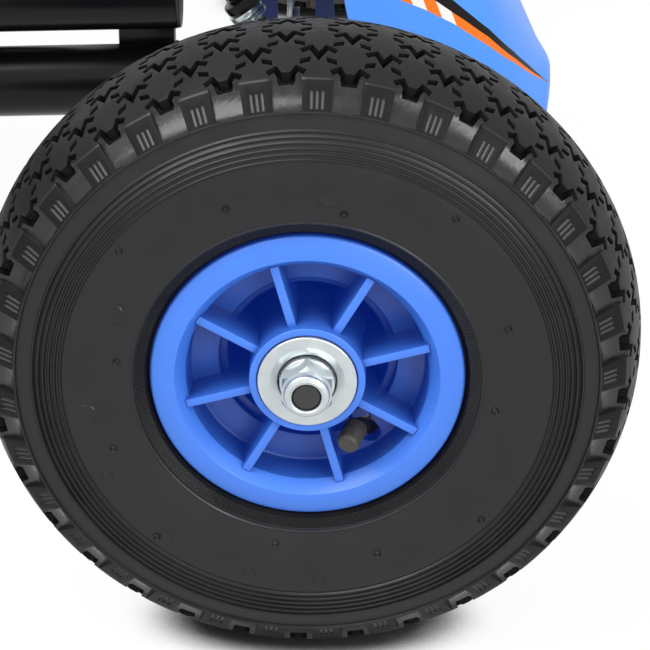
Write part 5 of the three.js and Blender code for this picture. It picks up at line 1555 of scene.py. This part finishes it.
def make_brake_lever():
    """A bent lever on its cross shaft, with an arm that carries the shoe's plate."""
    z = spine_z(BRAKE_X)
    parts = [rod((BRAKE_X, -19.6, z), (BRAKE_X, -349.8, z), 5.8)]
    lever = tube([(BRAKE_X, -215, z), (-638, -215, 130), (-632, -215, 180), (-630, -215, 205), (-622, -215, 226),
                  (-600, -215, 285), (-575, -215, 355), (-561, -215, 398)], 5.8, 20, 8)
    parts += [lever, pipe((BRAKE_X, -207, z), (BRAKE_X, -223, z), 10, 5.8, 1)]
    parts.append(weld(saddle((BRAKE_X, -215, z), (0, 1, 0), (0, 0, 1), 9.8, 6), 1.3))
    outline = rounded([
        (BRAKE_X + 9, z - 2, 6), (*brake_place(165, 0), 3), (*brake_place(152.5, 23), 1),
        (*brake_place(152.5, -23), 1), (BRAKE_X - 8, z - 2, 6),
    ], 4)
    parts.append(plate(outline, -341, -333, 1))
    parts.append(pipe((BRAKE_X, -328, z), (BRAKE_X, -346, z), 9.5, 5.8, 1))
    back = [brake_place(r, a) for r, a in ((150.4, -26), (154.2, -26), (154.2, 26), (150.4, 26))]
    parts.append(plate(back, -367, -307, 0.8))
    for along in (-14, 14):
        for y in (-353, -321):
            foot, tip = brake_place(154, along), brake_place(157.4, along)
            parts.append(hexagon((foot[0], y, foot[1]), (tip[0], y, tip[1]), 7, 0.5))
    return gather(parts)


def make_brake_grip():
    """The soft ribbed grip pushed over the lever's end."""
    start, end = Vector((-596, -215, 296)), Vector((-561, -215, 399))
    length = (end - start).length
    outline = [(6, 0, 0), (9.4, 0, 1)]
    for k in range(12):
        up = 8 + k * (length - 24) / 12
        outline += [(9.4, up, 0), (8.7, up + 1.4, 0), (8.7, up + 3.2, 0), (9.4, up + 4.6, 0)]
    outline += [(9.4, length - 2, 3), (0, length + 0.4, 0), (0, 4, 0), (6, 4, 0)]
    shift = Vector((0.2, 0, 0))
    return aimed(turned(rounded(outline, 3), 32), start + shift, end + shift)


def make_brake_shoe():
    """The rubber block that presses on the tyre, with three drainage grooves."""
    block_line = [brake_place(r, a) for r, a in ((140.2, -23), (149.8, -23), (149.8, 23), (140.2, 23))]
    shoe = plate(block_line, -367, -307, 1.2)
    for along in (-11.5, 0, 11.5):
        groove = [brake_place(r, along + w) for r, w in ((138, -1.2), (143, -1.2), (143, 1.2), (138, 1.2))]
        shoe = combined(shoe, plate(groove, -380, -290, 0), "DIFFERENCE")
    return shoe


# Setting the pieces in place


def fit(shape, name, body, node, finish, *more, slot=None, smooth=35):
    """Settles a piece of the kart that may stand for a CAD node."""
    stands_for, slot = ([node], slot or finish) if node else ((), None)
    settle(shape, name, [finish, *more], body, stands_for, slot, KART, smooth)


def add_frame():
    fit(make_spine(), "welded_lower_tube", "frame", "frame_spine", "black_paint")
    fit(make_rail(), "welded_upper_tube", "frame", "seat_rail", "black_paint")
    fit(make_tube_plugs(), "tube_end_plugs", "frame", None, "black_plastic")
    fit(make_front_beam(), "front_cross_tube", "frame", "front_beam", "black_paint")
    fit(make_rear_carrier(), "rear_cross_tube", "frame", "rear_carrier", "black_paint")
    fit(make_rear_axle(), "turned_rear_axle", "driven_axle", "rear_axle", "grey_steel")
    for name, side in SIDES:
        fit(make_rear_bearing(side), f"sealed_bearing_{name}", "frame", f"rear_bearing_{name}", "grey_steel")


def add_steering():
    for layer, (name, side) in enumerate(reversed(SIDES)):
        fit(make_knuckle(side), f"forged_knuckle_{name}", f"front_knuckle_{name}", f"knuckle_{name}", "black_paint")
        fit(make_kingpin(side), f"kingpin_bolt_{name}", "frame", f"kingpin_{name}", "zinc_plate")
        fit(make_tie_rod(side, layer), f"plated_tie_rod_{name}", f"rod_{name}", f"tie_rod_{name}", "zinc_plate")
    fit(make_steering_shaft(), "steering_column_shaft", "steering", "steering_shaft", "black_paint")
    fit(make_column_bush(), "nylon_column_bush", "frame", "column_bush", "white_plastic")
    fit(make_column_collars(), "column_clamp_collars", "steering", None, "zinc_plate")
    fit(make_grip(), "foam_rim_grip", "steering", "steering_wheel", "grip_foam")
    fit(make_wheel_spokes(), "steering_spokes", "steering", None, "black_paint")
    fit(make_wheel_hub(), "steering_hub", "steering", None, "black_plastic")


def add_drive():
    fit(make_crank(), "forged_crank", "crankset", "crank", "black_paint")
    fit(make_chainring(), "drilled_chainring", "crankset", "chainring", "grey_steel")
    fit(make_rear_sprocket(), "hubbed_sprocket", "driven_axle", "rear_sprocket", "grey_steel")
    fit(make_chain(), "roller_chain", "frame", "chain", "grey_steel", smooth=40)
    fit(make_chain_guard(), "moulded_chain_cover", "frame", "chain_guard", "black_plastic")
    for name, side in SIDES:
        fit(make_crank_bush(side), f"nylon_crank_bush_{name}", "frame", f"crank_bush_{name}", "white_plastic")
        fit(make_pedal(side), f"treaded_pedal_{name}", f"{name}_pedal", f"pedal_{name}", "black_plastic")


def add_body():
    shell, bolts = make_seat()
    fit(shell, "bucket_seat_shell", "seat_unit", "seat", "seat_plastic", slot="black_plastic", smooth=50)
    fit(bolts, "seat_bolts", "seat_unit", None, "zinc_plate")
    fit(make_seat_clamp(), "folded_seat_saddle", "seat_unit", "seat_clamp", "black_paint")
    fit(make_seat_knob(), "lobed_knob", "clamp_knob", "seat_knob", "black_plastic")
    fit(make_fairing(), "nose_fairing", "frame", "fairing", "fairing_plastic", "fairing_inside_shade", smooth=40)
    fit(make_fairing_bracket(), "strap_bracket", "frame", "fairing_bracket", "zinc_plate")
    fit(make_brake_lever(), "bent_brake_lever", "brake", "brake_lever", "black_paint")
    fit(make_brake_grip(), "ribbed_lever_grip", "brake", None, "grip_foam")
    fit(make_brake_shoe(), "grooved_brake_block", "brake", "brake_shoe", "tread_rubber", slot="tyre_rubber")


def finish_inner_tubes():
    """The inner tubes keep their plain rings, inside the tyres, and get their own rubber."""
    for end, side in WHEEL_BODIES:
        tube_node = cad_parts[f"inner_tube_{end}_{side}"]
        tube_node.data.materials.clear()
        tube_node.data.materials.append(materials["tube_rubber"])


add_wheels()
add_frame()
add_steering()
add_drive()
add_body()
finish_inner_tubes()


# Stage, light and camera


def seen_ray(tree):
    """One for the rays that show the background: those of the camera, of reflections and of clear pieces."""
    ray = add(tree, "ShaderNodeLightPath").outputs
    shown = add(tree, "ShaderNodeMath", {0: ray["Is Camera Ray"], 1: ray["Is Glossy Ray"]}, operation="MAXIMUM")
    seen = add(tree, "ShaderNodeMath", {0: shown.outputs["Value"], 1: ray["Is Transmission Ray"]},
               operation="MAXIMUM")
    return seen.outputs["Value"]


def floor_material():
    """A white studio floor whose white glow is cut by a painted shadow where a tyre stands close above it."""
    material, tree, shader, _ = start_material("white_studio_floor")
    shown = seen_ray(tree)
    # Painted shadow: ambient occlusion under the tyres dims the floor's glow.
    open_sky = add(tree, "ShaderNodeAmbientOcclusion", {"Distance": 0.14}, samples=32)
    painted_contact_shadow = add(tree, "ShaderNodeMapRange", {
        "Value": open_sky.outputs["AO"], "From Min": 0.23, "From Max": 0.45, "To Min": 0.004, "To Max": 1.0,
    }, interpolation_type="SMOOTHSTEP")
    tint = add(tree, "ShaderNodeMix", {"Factor": shown, "A": colour("b4b4b4"), "B": colour("ffffff")},
               data_type="RGBA")
    tree.links.new(tint.outputs["Result"], shader.inputs["Base Color"])
    shader.inputs["Roughness"].default_value = 0.9
    shader.inputs["Specular IOR Level"].default_value = 0.0
    glow = add(tree, "ShaderNodeEmission", {"Color": (1, 1, 1, 1), "Strength": painted_contact_shadow.outputs["Result"]})
    share = add(tree, "ShaderNodeMath", {0: shown, 1: 0.95}, operation="MULTIPLY")
    blend = add(tree, "ShaderNodeMixShader", {
        0: share.outputs["Value"], 1: shader.outputs["BSDF"], 2: glow.outputs["Emission"],
    })
    output = next(n for n in tree.nodes if n.type == "OUTPUT_MATERIAL")
    tree.links.new(blend.outputs["Shader"], output.inputs["Surface"])
    return material


def add_floor():
    disc = bmesh.new()
    bmesh.ops.create_circle(disc, cap_ends=True, segments=96, radius=30)
    mesh = bpy.data.meshes.new("studio_floor")
    disc.to_mesh(mesh)
    disc.free()
    mesh.materials.append(floor_material())
    floor = bpy.data.objects.new("studio_floor", mesh)
    bpy.context.scene.collection.objects.link(floor)


def add_world():
    world = bpy.data.worlds.new("studio")
    world.use_nodes = True
    tree = world.node_tree
    tree.nodes.clear()
    level = add(tree, "ShaderNodeMix", {"Factor": seen_ray(tree), "A": 0.6, "B": 1.0}, data_type="FLOAT")
    white = add(tree, "ShaderNodeBackground", {"Color": (1, 1, 1, 1), "Strength": level.outputs["Result"]})
    add(tree, "ShaderNodeOutputWorld", {"Surface": white.outputs["Background"]})
    bpy.context.scene.world = world


def add_lamp(name, size, watts, place, towards):
    lamp = bpy.data.lights.new(name, "AREA")
    lamp.shape = "RECTANGLE"
    lamp.size, lamp.size_y = size
    lamp.energy = watts
    holder = bpy.data.objects.new(name, lamp)
    holder.location = place
    holder.rotation_mode = "QUATERNION"
    holder.rotation_quaternion = (Vector(towards) - Vector(place)).to_track_quat("-Z", "Y")
    bpy.context.scene.collection.objects.link(holder)


def add_camera():
    """The camera stands off the front right wheel and looks down on it, as the photograph's did."""
    low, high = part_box("tyre_front_right")
    middle = (low + high) / 2
    azimuth, elevation = math.radians(CAMERA_AZIMUTH), math.radians(CAMERA_ELEVATION)
    back = Vector((math.sin(azimuth) * math.cos(elevation), -math.cos(azimuth) * math.cos(elevation),
                   math.sin(elevation)))
    right = Vector((math.cos(azimuth), math.sin(azimuth), 0))
    up = back.cross(right)
    camera = bpy.data.cameras.new("camera")
    camera.lens = FOCAL_PIXELS / PHOTO_PIXELS * SENSOR_MM
    camera.sensor_width = SENSOR_MM
    camera.clip_start, camera.clip_end = 0.05, 60
    holder = bpy.data.objects.new("camera", camera)
    holder.location = middle + (back * CAMERA_DISTANCE + right * CAMERA_ASIDE + up * CAMERA_UP) * MM
    holder.rotation_mode = "QUATERNION"
    holder.rotation_quaternion = Matrix((right, up, back)).transposed().to_quaternion()
    bpy.context.scene.collection.objects.link(holder)
    bpy.context.scene.camera = holder


add_floor()
add_world()
add_lamp("overhead_softbox", (1.7, 1.7), 52, (-0.6, -0.9, 2.1), (0.3, -0.2, 0.1))
add_lamp("front_left_softbox", (1.4, 1.0), 4, (-1.2, -2.2, 1.3), (0.3, -0.3, 0.13))
add_lamp("front_right_softbox", (1.4, 1.0), 34, (1.9, -2.0, 1.2), (0.4, -0.3, 0.13))
add_camera()
bpy.context.scene.view_settings.view_transform = "Standard"
